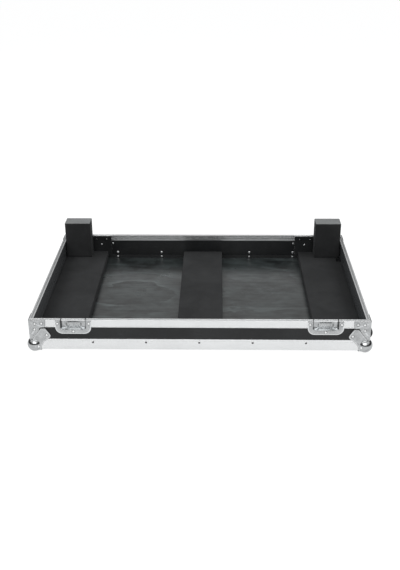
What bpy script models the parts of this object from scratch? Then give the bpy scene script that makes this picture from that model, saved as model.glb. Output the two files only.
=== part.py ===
"""Base tray of a wheeled flight case for a mixing desk, with its lid lifted off.

Metres, +Z up, the front is at -Y and the wheeled end at +X. The tray stands on its four ball corners.
"""
import math

import bmesh
import bpy
from mathutils import Matrix, Vector

# Overall sizes
CASE_LENGTH = 1.062
CASE_DEPTH = 0.710
TRAY_HEIGHT = 0.104
GAP = 0.0003
SEAM = 0.001

# Panels and the aluminium extrusions on their edges
PANEL = 0.009
METAL = 0.0016
RIM_FACE = 0.0254
RIM_RIDGE = 0.0025
FLAP_RIM_INNER_LEG = 0.021
BASE_LEG = 0.037
CORNER_LEG = 0.030
RIVET_HEAD_RADIUS = 0.0042
RIVET_HEAD_HEIGHT = 0.0016
BASE_RIVETS = 5
BASE_RIVET_END = 0.197
BASE_RIVET_HEIGHT = 0.026

# Ball corners and corner braces
PLATE = 0.0015
BALL_RADIUS = 0.0225
BALL_INSET = 0.0125
BALL_FLAT = 0.0005
TUCK = 0.0001
LOBE_REACH = 0.066
LOBE_TOP = 0.076
LOBE_WIDTH = 0.034
LOBE_TAPER = 0.011
LOBE_ROUND = 0.009
LEG_REACH = 0.033
SOLE_REACH = 0.044
BRACE_REACH = 0.052
BRACE_FOOT = 0.051
BRACE_JOINT = 0.0015
TIP_ROUND = 0.004
NECK_ROUND = 0.003

# Lid latches: half dishes in the front rim, each with a strike
DISH_END = 0.138
DISH_WIDTH = 0.112
DISH_HEIGHT = 0.0475
DISH_CORNER = 0.022
DISH_TOP_CORNER = 0.002
PAN_WIDTH = 0.080
PAN_HEIGHT = 0.033
PAN_DEPTH = 0.0135
STRIKE_WIDTH = 0.044
STRIKE_HEIGHT = 0.018
STRIKE_LIP_WIDTH = 0.036
STRIKE_LIP_REACH = 0.0045
STRIKE_TOP_DROP = 0.011

# Rear flap on a continuous hinge
FLAP_END = 0.179
HINGE_HEIGHT = 0.025
HINGE_LEAF = 0.0012
HINGE_LEAF_HEIGHT = 0.016
KNUCKLE_RADIUS = 0.0032
KNUCKLE_PAIRS = 5
HINGE_END = 0.004
PIN_RADIUS = 0.0013
BORE_CLEARANCE = 0.0003

# Slide bolts that hold the flap shut, measured from the flap's ends
BOLT_PLATE_REACH = 0.039
BOLT_HEIGHT = 0.077
BOLT_SIZE = 0.006
BOLT_LENGTH = 0.070
BOLT_END_REACH = 0.015
BOLT_CLEARANCE = 0.0005
BOLT_PLATE_WIDTH = 0.054
BOLT_PLATE_HEIGHT = 0.030
GUIDE_WIDTH = 0.005
GUIDE_OFFSET = 0.019
GUIDE_WALL = 0.0016
KNOB_RADIUS = 0.003
KNOB_REACH = 0.009
KNOB_FROM_END = 0.033
KEEPER_INSET = 0.0055
KEEPER_WIDTH = 0.008
KEEPER_HEIGHT = 0.020

# Tilt wheels let into the right-hand end
WHEEL_CORNER_CLEARANCE = 0.0015
WHEEL_RADIUS = 0.024
WHEEL_WIDTH = 0.024
WHEEL_PROUD = 0.025
WHEEL_HEIGHT = 0.018
WHEEL_SIDE_CLEARANCE = 0.002
WHEEL_CLEARANCE = 0.0025
HOUSING_WALL = 0.0015
HOUSING_FLANGE = 0.006
AXLE_RADIUS = 0.004
HUB_RADIUS = 0.010
TYRE_SHOULDER = 0.005
TYRE_CROWN = 0.0015
TYRE_SIDE = 0.0048
HUB_RECESS = 0.0036

# Foam lining
FOAM_TOP = 0.038
SIDE_STRIP_WIDTH = 0.153
CENTRE_STRIP_WIDTH = 0.147
BLOCK_WIDTH = 0.095
BLOCK_DEPTH = 0.057
BLOCK_TOP = 0.176
BLOCK_EDGE = 0.002

# Places that follow from the sizes
HALF_LENGTH = CASE_LENGTH / 2
HALF_DEPTH = CASE_DEPTH / 2
BASE_Z = BALL_RADIUS - BALL_INSET - BALL_FLAT
RIM_TOP = BASE_Z + TRAY_HEIGHT
SHOULDER = RIM_TOP - RIM_RIDGE
RIM_BOTTOM = RIM_TOP - RIM_FACE
RIM_DEPTH = PANEL + 2 * METAL + 2 * GAP
WALL_OUT_X = HALF_LENGTH - METAL - GAP
WALL_OUT_Y = HALF_DEPTH - METAL - GAP
WALL_IN_X = WALL_OUT_X - PANEL
WALL_IN_Y = WALL_OUT_Y - PANEL
PANEL_BOTTOM = BASE_Z + METAL + GAP
PANEL_TOP = SHOULDER - METAL - GAP
FLOOR_TOP = PANEL_BOTTOM + PANEL
HALF_FLAP = HALF_LENGTH - FLAP_END
HINGE_LENGTH = 2 * (HALF_FLAP - HINGE_END)
DISH_OFFSET = HALF_LENGTH - DISH_END
BASE_RIVET_PITCH = (CASE_LENGTH - 2 * BASE_RIVET_END) / (BASE_RIVETS - 1)
BOLT_OFFSET = HALF_FLAP + BOLT_PLATE_REACH
BOLT_END = HALF_FLAP + BOLT_END_REACH
KNOB_OFFSET = BOLT_END + KNOB_FROM_END
KEEPER_OFFSET = HALF_FLAP - KEEPER_INSET
HINGE_Z = BASE_Z + HINGE_HEIGHT
HINGE_Y = WALL_OUT_Y + GAP + KNUCKLE_RADIUS
WHEEL_X = HALF_LENGTH + WHEEL_PROUD - WHEEL_RADIUS
WHEEL_Z = BASE_Z + WHEEL_HEIGHT
HOUSING_HALF = WHEEL_WIDTH / 2 + WHEEL_SIDE_CLEARANCE + HOUSING_WALL
WHEEL_OFFSET = HALF_DEPTH - LOBE_REACH - WHEEL_CORNER_CLEARANCE - HOUSING_FLANGE - HOUSING_HALF
HOUSING_INNER_RADIUS = WHEEL_RADIUS + WHEEL_CLEARANCE
HOUSING_OUTER_RADIUS = HOUSING_INNER_RADIUS + HOUSING_WALL
BALL_PROUD = BALL_RADIUS - BALL_INSET
BOLT_Y = HALF_DEPTH + GAP + PLATE + BOLT_CLEARANCE
REAR_PROUD = BOLT_Y + BOLT_SIZE + KNOB_REACH - HALF_DEPTH
CENTRE_SHIFT = Vector(((BALL_PROUD - WHEEL_PROUD) / 2, (BALL_PROUD - REAR_PROUD) / 2, 0))

ALUMINIUM = ("aluminium", (0.72, 0.73, 0.74), 0.38, 1.0)
PLATED = ("plated steel", (0.50, 0.51, 0.52), 0.34, 1.0)
LAMINATE = ("black laminate", (0.025, 0.026, 0.028), 0.45, 0.0)
PLYWOOD = ("stained plywood", (0.24, 0.23, 0.22), 0.6, 0.0)
FOAM = ("black foam", (0.03, 0.031, 0.033), 0.95, 0.0)
TYRE = ("black polyurethane", (0.02, 0.02, 0.021), 0.5, 0.0)


def empty_scene():
    for old in list(bpy.data.objects):
        bpy.data.objects.remove(old, do_unlink=True)


def collection(name):
    made = bpy.data.collections.new(name)
    bpy.context.scene.collection.children.link(made)
    return made


def pivot(name, location, parent=None):
    """An empty that carries pieces, with its origin where they turn or from where they are measured."""
    made = bpy.data.objects.new(name, None)
    made.location = location
    made.parent = parent
    CASE.objects.link(made)
    return made


empty_scene()
CASE = collection("mixer_flight_case_tray")
CUTTERS = collection("cutters")
TRAY = pivot("tray_centre", CENTRE_SHIFT)
FLAP_HINGE = pivot("flap_hinge_axis", (0, HINGE_Y, HINGE_Z), TRAY)


def material(finish):
    name, colour, roughness, metallic = finish
    found = bpy.data.materials.get(name)
    if found:
        return found
    made = bpy.data.materials.new(name)
    made.use_nodes = True
    shader = made.node_tree.nodes["Principled BSDF"]
    shader.inputs["Base Color"].default_value = (*colour, 1)
    shader.inputs["Roughness"].default_value = roughness
    shader.inputs["Metallic"].default_value = metallic
    return made


def place(name, mesh, matrix, finish):
    """An object in the case's collection, or a cutter where it has no finish."""
    obj = bpy.data.objects.new(name, mesh)
    obj.parent = TRAY
    obj.matrix_basis = matrix
    if finish:
        mesh.materials.append(material(finish))
        CASE.objects.link(obj)
    else:
        CUTTERS.objects.link(obj)
        obj.hide_render = True
        obj.display_type = "WIRE"
    return obj


def hang_on_flap(obj):
    """Carries a piece by the flap's hinge axis and leaves it where it is."""
    obj.parent = FLAP_HINGE
    obj.matrix_basis = Matrix.Translation(-FLAP_HINGE.location) @ obj.matrix_basis
    return obj


def box(name, x, y, z, finish=None):
    """A box between two values along each axis, with its origin at its middle."""
    low = Vector((min(x), min(y), min(z)))
    high = Vector((max(x), max(y), max(z)))
    mesh = bpy.data.meshes.new(name)
    shape = bmesh.new()
    bmesh.ops.create_cube(shape, size=1, matrix=Matrix.Diagonal((*(high - low), 1)))
    shape.to_mesh(mesh)
    shape.free()
    return place(name, mesh, Matrix.Translation((low + high) / 2), finish)


def cylinder(name, centre, axis, radius, length, finish=None, sides=24):
    """A cylinder along X, Y or Z."""
    mesh = bpy.data.meshes.new(name)
    shape = bmesh.new()
    bmesh.ops.create_cone(
        shape, cap_ends=True, segments=sides, radius1=radius, radius2=radius, depth=length
    )
    shape.to_mesh(mesh)
    shape.free()
    mesh.shade_smooth()
    mesh.set_sharp_from_angle(angle=math.radians(40))
    turn = {"X": (math.radians(90), "Y"), "Y": (math.radians(-90), "X"), "Z": (0, "Z")}[axis]
    return place(name, mesh, Matrix.Translation(centre) @ Matrix.Rotation(turn[0], 4, turn[1]), finish)


def rounded(corners, steps=4):
    """Points of an outline whose corners are (across, up, radius)."""
    points = []
    for i, (across, up, radius) in enumerate(corners):
        here = Vector((across, up))
        if not radius:
            points.append(here)
            continue
        before = Vector(corners[i - 1][:2]) - here
        after = Vector(corners[(i + 1) % len(corners)][:2]) - here
        half = before.angle(after) / 2
        reach = min(radius / math.tan(half), 0.49 * before.length, 0.49 * after.length)
        start = here + before.normalized() * reach
        end = here + after.normalized() * reach
        centre = here + (before.normalized() + after.normalized()).normalized() * reach / math.cos(half)
        first = start - centre
        sweep = first.angle_signed(end - centre)
        for k in range(steps + 1):
            turned = first.copy()
            turned.rotate(Matrix.Rotation(-sweep * k / steps, 2))
            points.append(centre + turned)
    return points


def plate(name, outlines, axis, low, high, finish=None):
    """Flat outlines in the plane across an axis, extruded between two values along it."""
    turn = {
        "X": Matrix(((0, 0, 1, 0), (1, 0, 0, 0), (0, 1, 0, 0), (0, 0, 0, 1))),
        "Y": Matrix.Rotation(math.radians(90), 4, "X"),
        "Z": Matrix.Identity(4),
    }[axis]
    curve = bpy.data.curves.new(name, "CURVE")
    curve.dimensions = "2D"
    curve.fill_mode = "BOTH"
    curve.extrude = abs(high - low) / 2
    for outline in outlines:
        spline = curve.splines.new("POLY")
        spline.points.add(len(outline) - 1)
        for point, (across, up) in zip(spline.points, outline):
            point.co = (across, up, 0, 1)
        spline.use_cyclic_u = True
    drawn = bpy.data.objects.new(name, curve)
    bpy.context.scene.collection.objects.link(drawn)
    bpy.context.view_layer.update()
    mesh = bpy.data.meshes.new_from_object(drawn.evaluated_get(bpy.context.evaluated_depsgraph_get()))
    bpy.data.objects.remove(drawn)
    shape = bmesh.new()
    shape.from_mesh(mesh)
    bmesh.ops.remove_doubles(shape, verts=shape.verts, dist=1e-6)
    bmesh.ops.recalc_face_normals(shape, faces=shape.faces)
    shape.to_mesh(mesh)
    shape.free()
    mesh.materials.clear()
    middle = {"X": Vector((1, 0, 0)), "Y": Vector((0, 1, 0)), "Z": Vector((0, 0, 1))}[axis]
    return place(name, mesh, Matrix.Translation(middle * (low + high) / 2) @ turn, finish)


def turned(name, centre, profile, finish, sides=32):
    """A profile of (radius, along) points turned about an axis that lies along Y."""
    mesh = bpy.data.meshes.new(name)
    count = len(profile)
    mesh.from_pydata(
        [(radius, 0, along) for radius, along in profile], [(i, (i + 1) % count) for i in range(count)], []
    )
    obj = place(
        name, mesh, Matrix.Translation(centre) @ Matrix.Rotation(math.radians(90), 4, "X"), finish
    )
    screw = obj.modifiers.new("turn", "SCREW")
    screw.steps = sides
    screw.render_steps = sides
    screw.use_merge_vertices = True
    screw.merge_threshold = 1e-5
    screw.use_smooth_shade = True
    return obj


def boolean(obj, other, operation):
    step = obj.modifiers.new(other.name, "BOOLEAN")
    step.object = other
    step.operation = operation
    step.solver = "EXACT"


def cut(obj, *cutters):
    for cutter in cutters:
        boolean(obj, cutter, "DIFFERENCE")


def join(obj, *others):
    for other in others:
        boolean(obj, other, "UNION")


def bevel(obj, width, segments=2):
    step = obj.modifiers.new("edges", "BEVEL")
    step.width = width
    step.segments = segments
    step.limit_method = "ANGLE"


def side_name(sign, low="left", high="right"):
    return low if sign < 0 else high


# Cutters that several pieces share
def drum_room(name, y, radius, half, finish=None):
    """A drum round the wheel's axle that is carried on straight out through the end and the bottom."""
    drum = cylinder(name, (WHEEL_X, y, WHEEL_Z), "Y", radius, 2 * half, finish, sides=40)
    across = (y - half, y + half)
    outward = box(
        f"{name}_outward", (WHEEL_X, WHEEL_X + 2 * radius), across, (WHEEL_Z - 2 * radius, WHEEL_Z + radius)
    )
    downward = box(
        f"{name}_downward", (WHEEL_X - radius, WHEEL_X + radius), across, (WHEEL_Z - 2 * radius, WHEEL_Z)
    )
    join(drum, outward, downward)
    return drum


WELLS = [
    drum_room(
        f"well_{side_name(end, 'front', 'rear')}",
        end * WHEEL_OFFSET,
        HOUSING_OUTER_RADIUS + GAP,
        HOUSING_HALF + GAP,
    )
    for end in (-1, 1)
]


def dish_cuts(name, depth):
    """Room for both latch pans, so deep from the front face."""
    return [
        box(
            f"{name}_{side_name(side)}",
            (side * DISH_OFFSET - PAN_WIDTH / 2 - GAP, side * DISH_OFFSET + PAN_WIDTH / 2 + GAP),
            (-HALF_DEPTH - PLATE, -HALF_DEPTH + depth),
            (RIM_TOP - PAN_HEIGHT - GAP, RIM_TOP + RIM_FACE),
        )
        for side in (-1, 1)
    ]


def make_panels():
    floor = box(
        "floor_panel",
        (-WALL_IN_X + GAP, WALL_IN_X - GAP),
        (-WALL_IN_Y + GAP, WALL_IN_Y - GAP),
        (PANEL_BOTTOM, FLOOR_TOP),
        PLYWOOD,
    )
    cut(floor, *WELLS)
    height = (PANEL_BOTTOM, PANEL_TOP)
    front = box(
        "front_wall", (-WALL_IN_X + GAP, WALL_IN_X - GAP), (-WALL_OUT_Y, -WALL_IN_Y), height, LAMINATE
    )
    cut(front, *dish_cuts("wall_dish", 2 * PAN_DEPTH))
    box("left_wall", (-WALL_OUT_X, -WALL_IN_X), (-WALL_OUT_Y, WALL_OUT_Y), height, LAMINATE)
    right = box("right_wall", (WALL_IN_X, WALL_OUT_X), (-WALL_OUT_Y, WALL_OUT_Y), height, LAMINATE)
    cut(right, *WELLS)
    rear = box(
        "rear_wall", (-WALL_IN_X + GAP, WALL_IN_X - GAP), (WALL_IN_Y, WALL_OUT_Y), height, LAMINATE
    )
    flap_room = box(
        "flap_room",
        (-HALF_FLAP - SEAM, HALF_FLAP + SEAM),
        (WALL_IN_Y - PANEL, WALL_OUT_Y + PANEL),
        (HINGE_Z - SEAM / 2, RIM_TOP + RIM_FACE),
    )
    cut(rear, flap_room)
    flap = box(
        "flap_panel",
        (-HALF_FLAP, HALF_FLAP),
        (WALL_IN_Y, WALL_OUT_Y),
        (HINGE_Z + SEAM / 2, PANEL_TOP),
        LAMINATE,
    )
    hang_on_flap(flap)


def rim_profile(outer, inward, inner_leg=0.0):
    """Section of the rim extrusion: an outer leg, a shoulder and a ridge, and an inner leg if it has one."""
    ridge = RIM_DEPTH / 2
    points = [(0, RIM_BOTTOM), (0, SHOULDER), (ridge, SHOULDER), (ridge, RIM_TOP), (RIM_DEPTH, RIM_TOP)]
    if inner_leg:
        points += [(RIM_DEPTH, RIM_TOP - inner_leg), (RIM_DEPTH - METAL, RIM_TOP - inner_leg)]
        points += [(RIM_DEPTH - METAL, SHOULDER - METAL)]
    else:
        points += [(RIM_DEPTH, SHOULDER - METAL)]
    points += [(METAL, SHOULDER - METAL), (METAL, RIM_BOTTOM)]
    return [Vector((outer + inward * d, z)) for d, z in points]


def make_rims():
    front = plate(
        "front_rim", [rim_profile(-HALF_DEPTH, 1)], "X", -HALF_LENGTH, HALF_LENGTH, ALUMINIUM
    )
    cut(front, *dish_cuts("rim_dish", RIM_DEPTH / 2 - GAP))
    run = HALF_DEPTH - RIM_DEPTH - GAP
    for side in (-1, 1):
        plate(
            f"{side_name(side)}_rim", [rim_profile(side * HALF_LENGTH, -side)], "Y", -run, run, ALUMINIUM
        )
        plate(
            f"rear_rim_{side_name(side)}",
            [rim_profile(HALF_DEPTH, -1)],
            "X",
            side * (HALF_FLAP + SEAM),
            side * HALF_LENGTH,
            ALUMINIUM,
        )
    flap_section = rim_profile(HALF_DEPTH, -1, FLAP_RIM_INNER_LEG)
    hang_on_flap(plate("flap_rim", [flap_section], "X", -HALF_FLAP, HALF_FLAP, ALUMINIUM))


def angle_profile(outer, inward):
    points = [(0, 0), (0, BASE_LEG), (METAL, BASE_LEG), (METAL, METAL), (BASE_LEG, METAL), (BASE_LEG, 0)]
    return [Vector((outer + inward * d, BASE_Z + h)) for d, h in points]


def make_base_angles():
    plate("base_angle_front", [angle_profile(-HALF_DEPTH, 1)], "X", -HALF_LENGTH, HALF_LENGTH, ALUMINIUM)
    rear = plate(
        "base_angle_rear", [angle_profile(HALF_DEPTH, -1)], "X", -HALF_LENGTH, HALF_LENGTH, ALUMINIUM
    )
    hinge_room = box(
        "hinge_room",
        (-HALF_FLAP - SEAM, HALF_FLAP + SEAM),
        (WALL_OUT_Y, HALF_DEPTH + METAL),
        (HINGE_Z - HINGE_LEAF_HEIGHT - GAP, BASE_Z + 2 * BASE_LEG),
    )
    cut(rear, hinge_room)
    run = HALF_DEPTH - METAL - GAP
    leg_rooms = [
        box(
            f"leg_room_{side_name(end, 'front', 'rear')}",
            (-CASE_LENGTH, CASE_LENGTH),
            (end * (HALF_DEPTH - BASE_LEG - GAP), end * CASE_DEPTH),
            (BASE_Z - METAL, BASE_Z + METAL + GAP),
        )
        for end in (-1, 1)
    ]
    for side in (-1, 1):
        angle = plate(
            f"base_angle_{side_name(side)}",
            [angle_profile(side * HALF_LENGTH, -side)],
            "Y",
            -run,
            run,
            ALUMINIUM,
        )
        cut(angle, *leg_rooms)
        if side > 0:
            cut(angle, *WELLS)


def corner_outline(side, end, legs):
    """Section of a vertical angle with its outer corner on the tray's outer corner."""
    return [
        Vector((side * (HALF_LENGTH - across), end * (HALF_DEPTH - along))) for across, along in legs
    ]


def make_corner_angles():
    legs = [(0, 0), (CORNER_LEG, 0), (CORNER_LEG, METAL)]
    legs += [(METAL, METAL), (METAL, CORNER_LEG), (0, CORNER_LEG)]
    for side in (-1, 1):
        for end in (-1, 1):
            plate(
                f"corner_angle_{side_name(end, 'front', 'rear')}_{side_name(side)}",
                [corner_outline(side, end, legs)],
                "Z",
                BASE_Z + BASE_LEG + GAP,
                RIM_BOTTOM - GAP,
                ALUMINIUM,
            )


def face_plates(name, side, end, corners, finish):
    """The same outline on both upright faces of a corner, joined along the corner's edge."""
    over = corners(-GAP - PLATE, 0)
    under = corners(-GAP - PLATE / 2, TUCK)
    on_front = rounded([(side * (HALF_LENGTH - s), BASE_Z + z, r) for s, z, r in over])
    on_side = rounded([(end * (HALF_DEPTH - s), BASE_Z + z, r) for s, z, r in under])
    front = plate(
        name, [on_front], "Y", end * (HALF_DEPTH + GAP), end * (HALF_DEPTH + GAP + PLATE), finish
    )
    flank = plate(
        f"{name}_flank",
        [on_side],
        "X",
        side * (HALF_LENGTH + GAP),
        side * (HALF_LENGTH + GAP + PLATE - TUCK),
    )
    join(front, flank)
    return front


def brace_outline(edge, tuck):
    top = TRAY_HEIGHT - RIM_RIDGE - tuck
    foot = BRACE_FOOT + tuck
    return [
        (edge, top, 0),
        (BRACE_REACH, top, TIP_ROUND),
        (BRACE_REACH, TRAY_HEIGHT - RIM_FACE, TIP_ROUND),
        (LOBE_WIDTH, LOBE_TOP + 2 * BRACE_JOINT, NECK_ROUND),
        (PLATE, foot, NECK_ROUND),
        (edge, foot, 0),
    ]


def make_corner_braces():
    for side in (-1, 1):
        for end in (-1, 1):
            name = f"corner_brace_{side_name(end, 'front', 'rear')}_{side_name(side)}"
            face_plates(name, side, end, brace_outline, PLATED)


def ball_plate_outline(edge, tuck):
    bottom = -GAP - PLATE + tuck
    foot = BRACE_FOOT - BRACE_JOINT - tuck
    waist = LOBE_TOP - LOBE_WIDTH
    return [
        (edge, bottom, 0),
        (LEG_REACH, bottom, TIP_ROUND),
        (LEG_REACH, waist - LOBE_TAPER, LOBE_ROUND),
        (LOBE_REACH - LOBE_TAPER, waist, LOBE_ROUND),
        (LOBE_REACH, waist + LOBE_TAPER, LOBE_ROUND),
        (LOBE_REACH - LOBE_TAPER, LOBE_TOP - LOBE_TAPER, LOBE_ROUND),
        (LOBE_WIDTH, LOBE_TOP, NECK_ROUND),
        (PLATE, foot, NECK_ROUND),
        (edge, foot, 0),
    ]


def ball_with_foot(name, side, end):
    """The ball that stands out past the corner, hollow where the case is, with a small flat to stand on."""
    mesh = bpy.data.meshes.new(f"{name}_ball")
    shape = bmesh.new()
    bmesh.ops.create_uvsphere(shape, u_segments=28, v_segments=16, radius=BALL_RADIUS)
    shape.to_mesh(mesh)
    shape.free()
    centre = (side * (HALF_LENGTH - BALL_INSET), end * (HALF_DEPTH - BALL_INSET), BASE_Z + BALL_INSET)
    ball = place(f"{name}_ball", mesh, Matrix.Translation(centre), None)
    inside = box(
        f"{name}_inside",
        (0, side * (HALF_LENGTH + GAP)),
        (0, end * (HALF_DEPTH + GAP)),
        (BASE_Z - GAP, RIM_TOP),
    )
    ground = box(f"{name}_ground", (0, side * CASE_LENGTH), (0, end * CASE_DEPTH), (-BALL_RADIUS, 0))
    cut(ball, inside, ground)
    return ball


def make_ball_corners():
    edge = -GAP - PLATE / 2
    beneath = [
        (edge, edge, 0),
        (LEG_REACH, edge, TIP_ROUND),
        (SOLE_REACH, LEG_REACH, LOBE_ROUND),
        (LEG_REACH, SOLE_REACH, LOBE_ROUND),
        (edge, LEG_REACH, TIP_ROUND),
    ]
    for side in (-1, 1):
        for end in (-1, 1):
            name = f"ball_corner_{side_name(end, 'front', 'rear')}_{side_name(side)}"
            corner = face_plates(name, side, end, ball_plate_outline, PLATED)
            sole = plate(
                f"{name}_sole",
                [rounded([(side * (HALF_LENGTH - s), end * (HALF_DEPTH - t), r) for s, t, r in beneath])],
                "Z",
                BASE_Z - GAP - PLATE + 2 * TUCK,
                BASE_Z - GAP,
            )
            join(corner, sole, ball_with_foot(name, side, end))


def make_latches():
    flange_y = (-HALF_DEPTH - GAP - PLATE, -HALF_DEPTH - GAP)
    pan_back = -HALF_DEPTH + PAN_DEPTH
    top = SHOULDER
    for side in (-1, 1):
        x = side * DISH_OFFSET
        half = DISH_WIDTH / 2
        bottom = RIM_TOP - DISH_HEIGHT
        outline = rounded(
            [
                (x - half, top, DISH_TOP_CORNER),
                (x - half, bottom, DISH_CORNER),
                (x + half, bottom, DISH_CORNER),
                (x + half, top, DISH_TOP_CORNER),
            ],
            steps=6,
        )
        name = f"latch_dish_{side_name(side)}"
        dish = plate(name, [outline], "Y", *flange_y, PLATED)
        pan_half = PAN_WIDTH / 2
        pan_bottom = RIM_TOP - PAN_HEIGHT
        pan = box(
            f"{name}_pan",
            (x - pan_half, x + pan_half),
            (flange_y[0], pan_back),
            (pan_bottom, PANEL_TOP),
        )
        hollow = box(
            f"{name}_hollow",
            (x - pan_half + PLATE, x + pan_half - PLATE),
            (-HALF_DEPTH - PAN_DEPTH, pan_back - PLATE),
            (pan_bottom + PLATE, RIM_TOP + PLATE),
        )
        join(dish, pan)
        cut(dish, hollow)
        strike_top = RIM_TOP - STRIKE_TOP_DROP
        strike_back = pan_back - PLATE - GAP
        strike = box(
            f"latch_strike_{side_name(side)}",
            (x - STRIKE_WIDTH / 2, x + STRIKE_WIDTH / 2),
            (strike_back - PLATE, strike_back),
            (strike_top - STRIKE_HEIGHT, strike_top),
            PLATED,
        )
        lip = box(
            f"strike_lip_{side_name(side)}",
            (x - STRIKE_LIP_WIDTH / 2, x + STRIKE_LIP_WIDTH / 2),
            (strike_back - PLATE - STRIKE_LIP_REACH, strike_back - PLATE / 2),
            (strike_top - PLATE, strike_top),
        )
        join(strike, lip)


def make_hinge():
    pitch = HINGE_LENGTH / (2 * KNUCKLE_PAIRS)
    bore = PIN_RADIUS + BORE_CLEARANCE
    leaf_gap = KNUCKLE_RADIUS + GAP
    for up, name in ((-1, "hinge_fixed_leaf"), (1, "hinge_flap_leaf")):
        leaf = box(
            name,
            (-HINGE_LENGTH / 2, HINGE_LENGTH / 2),
            (HINGE_Y - KNUCKLE_RADIUS, HINGE_Y - KNUCKLE_RADIUS + HINGE_LEAF),
            (HINGE_Z + up * leaf_gap, HINGE_Z + up * HINGE_LEAF_HEIGHT),
            PLATED,
        )
        first = -HINGE_LENGTH / 2 + (pitch if up > 0 else 0)
        for i in range(KNUCKLE_PAIRS):
            start = first + 2 * pitch * i
            middle = start + pitch / 2
            barrel = cylinder(
                f"{name}_barrel_{i}",
                (middle, HINGE_Y, HINGE_Z),
                "X",
                KNUCKLE_RADIUS,
                pitch - GAP,
                sides=12,
            )
            tab = box(
                f"{name}_tab_{i}",
                (start + GAP / 2, start + pitch - GAP / 2),
                (HINGE_Y - KNUCKLE_RADIUS, HINGE_Y - KNUCKLE_RADIUS + HINGE_LEAF),
                (HINGE_Z, HINGE_Z + up * (leaf_gap + HINGE_LEAF)),
            )
            join(leaf, tab, barrel)
        hole = cylinder(
            f"{name}_bore", (0, HINGE_Y, HINGE_Z), "X", bore, HINGE_LENGTH + 2 * pitch, sides=12
        )
        cut(leaf, hole)
        if up > 0:
            hang_on_flap(leaf)
    cylinder(
        "hinge_pin", (0, HINGE_Y, HINGE_Z), "X", PIN_RADIUS, HINGE_LENGTH - GAP, ALUMINIUM, sides=12
    )


def loop_round_bolt(name, x, width, plate_width, plate_height, finish):
    """A flat plate on the rear face with a square staple that the bolt slides through."""
    face = HALF_DEPTH + GAP
    z = BASE_Z + BOLT_HEIGHT
    base = box(
        name,
        (x - plate_width / 2, x + plate_width / 2),
        (face, face + PLATE),
        (z - plate_height / 2, z + plate_height / 2),
        finish,
    )
    staples = [x] if width >= plate_width - GAP else [x - GUIDE_OFFSET, x + GUIDE_OFFSET]
    room = BOLT_SIZE / 2 + BOLT_CLEARANCE
    tunnel_top = face + PLATE + BOLT_SIZE + 2 * BOLT_CLEARANCE
    for i, centre in enumerate(staples):
        staple = box(
            f"{name}_staple_{i}",
            (centre - width / 2, centre + width / 2),
            (face + PLATE / 2, tunnel_top + GUIDE_WALL),
            (z - room - GUIDE_WALL, z + room + GUIDE_WALL),
        )
        join(base, staple)
    tunnel = box(
        f"{name}_tunnel",
        (x - plate_width, x + plate_width),
        (face + PLATE, tunnel_top),
        (z - room, z + room),
    )
    cut(base, tunnel)
    return base


def make_flap_bolts():
    z = BASE_Z + BOLT_HEIGHT
    for side in (-1, 1):
        where = side_name(side)
        loop_round_bolt(
            f"flap_bolt_plate_{where}",
            side * BOLT_OFFSET,
            GUIDE_WIDTH,
            BOLT_PLATE_WIDTH,
            BOLT_PLATE_HEIGHT,
            PLATED,
        )
        keeper = loop_round_bolt(
            f"flap_keeper_{where}",
            side * KEEPER_OFFSET,
            KEEPER_WIDTH,
            KEEPER_WIDTH,
            KEEPER_HEIGHT,
            PLATED,
        )
        hang_on_flap(keeper)
        bolt = box(
            f"flap_bolt_{where}",
            (side * BOLT_END, side * (BOLT_END + BOLT_LENGTH)),
            (BOLT_Y, BOLT_Y + BOLT_SIZE),
            (z - BOLT_SIZE / 2, z + BOLT_SIZE / 2),
            PLATED,
        )
        knob = cylinder(
            f"bolt_knob_{where}",
            (side * KNOB_OFFSET, BOLT_Y + BOLT_SIZE + (KNOB_REACH - PLATE) / 2, z),
            "Y",
            KNOB_RADIUS,
            KNOB_REACH + PLATE,
            sides=16,
        )
        join(bolt, knob)


def make_housing(where, y):
    outer_x = HALF_LENGTH + GAP
    low = BASE_Z + GAP
    far = 2 * HOUSING_OUTER_RADIUS
    across = (y - far, y + far)
    housing = drum_room(f"wheel_housing_{where}", y, HOUSING_OUTER_RADIUS, HOUSING_HALF, PLATED)
    beyond = box(
        f"housing_beyond_{where}", (outer_x, WHEEL_X + 2 * far), across, (WHEEL_Z - 2 * far, WHEEL_Z + far)
    )
    beneath = box(f"housing_beneath_{where}", (WHEEL_X - far, WHEEL_X + far), across, (low - 2 * far, low))
    flange = box(
        f"housing_flange_{where}",
        (outer_x - HOUSING_WALL / 2, outer_x + PLATE),
        (y - HOUSING_HALF - HOUSING_FLANGE, y + HOUSING_HALF + HOUSING_FLANGE),
        (low, WHEEL_Z + HOUSING_OUTER_RADIUS + HOUSING_FLANGE),
    )
    flange_back = box(
        f"housing_flange_back_{where}",
        (outer_x - HOUSING_WALL, outer_x),
        (y - HOUSING_HALF - 2 * HOUSING_FLANGE, y + HOUSING_HALF + 2 * HOUSING_FLANGE),
        (low - PLATE, WHEEL_Z + HOUSING_OUTER_RADIUS + 2 * HOUSING_FLANGE),
    )
    cut(flange, flange_back)
    hollow = drum_room(f"housing_hollow_{where}", y, HOUSING_INNER_RADIUS, HOUSING_HALF - HOUSING_WALL)
    axle_hole = cylinder(
        f"axle_hole_{where}", (WHEEL_X, y, WHEEL_Z), "Y", AXLE_RADIUS + BORE_CLEARANCE, 3 * HOUSING_HALF
    )
    cut(housing, beyond, beneath)
    join(housing, flange)
    cut(housing, hollow, axle_hole)


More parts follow.
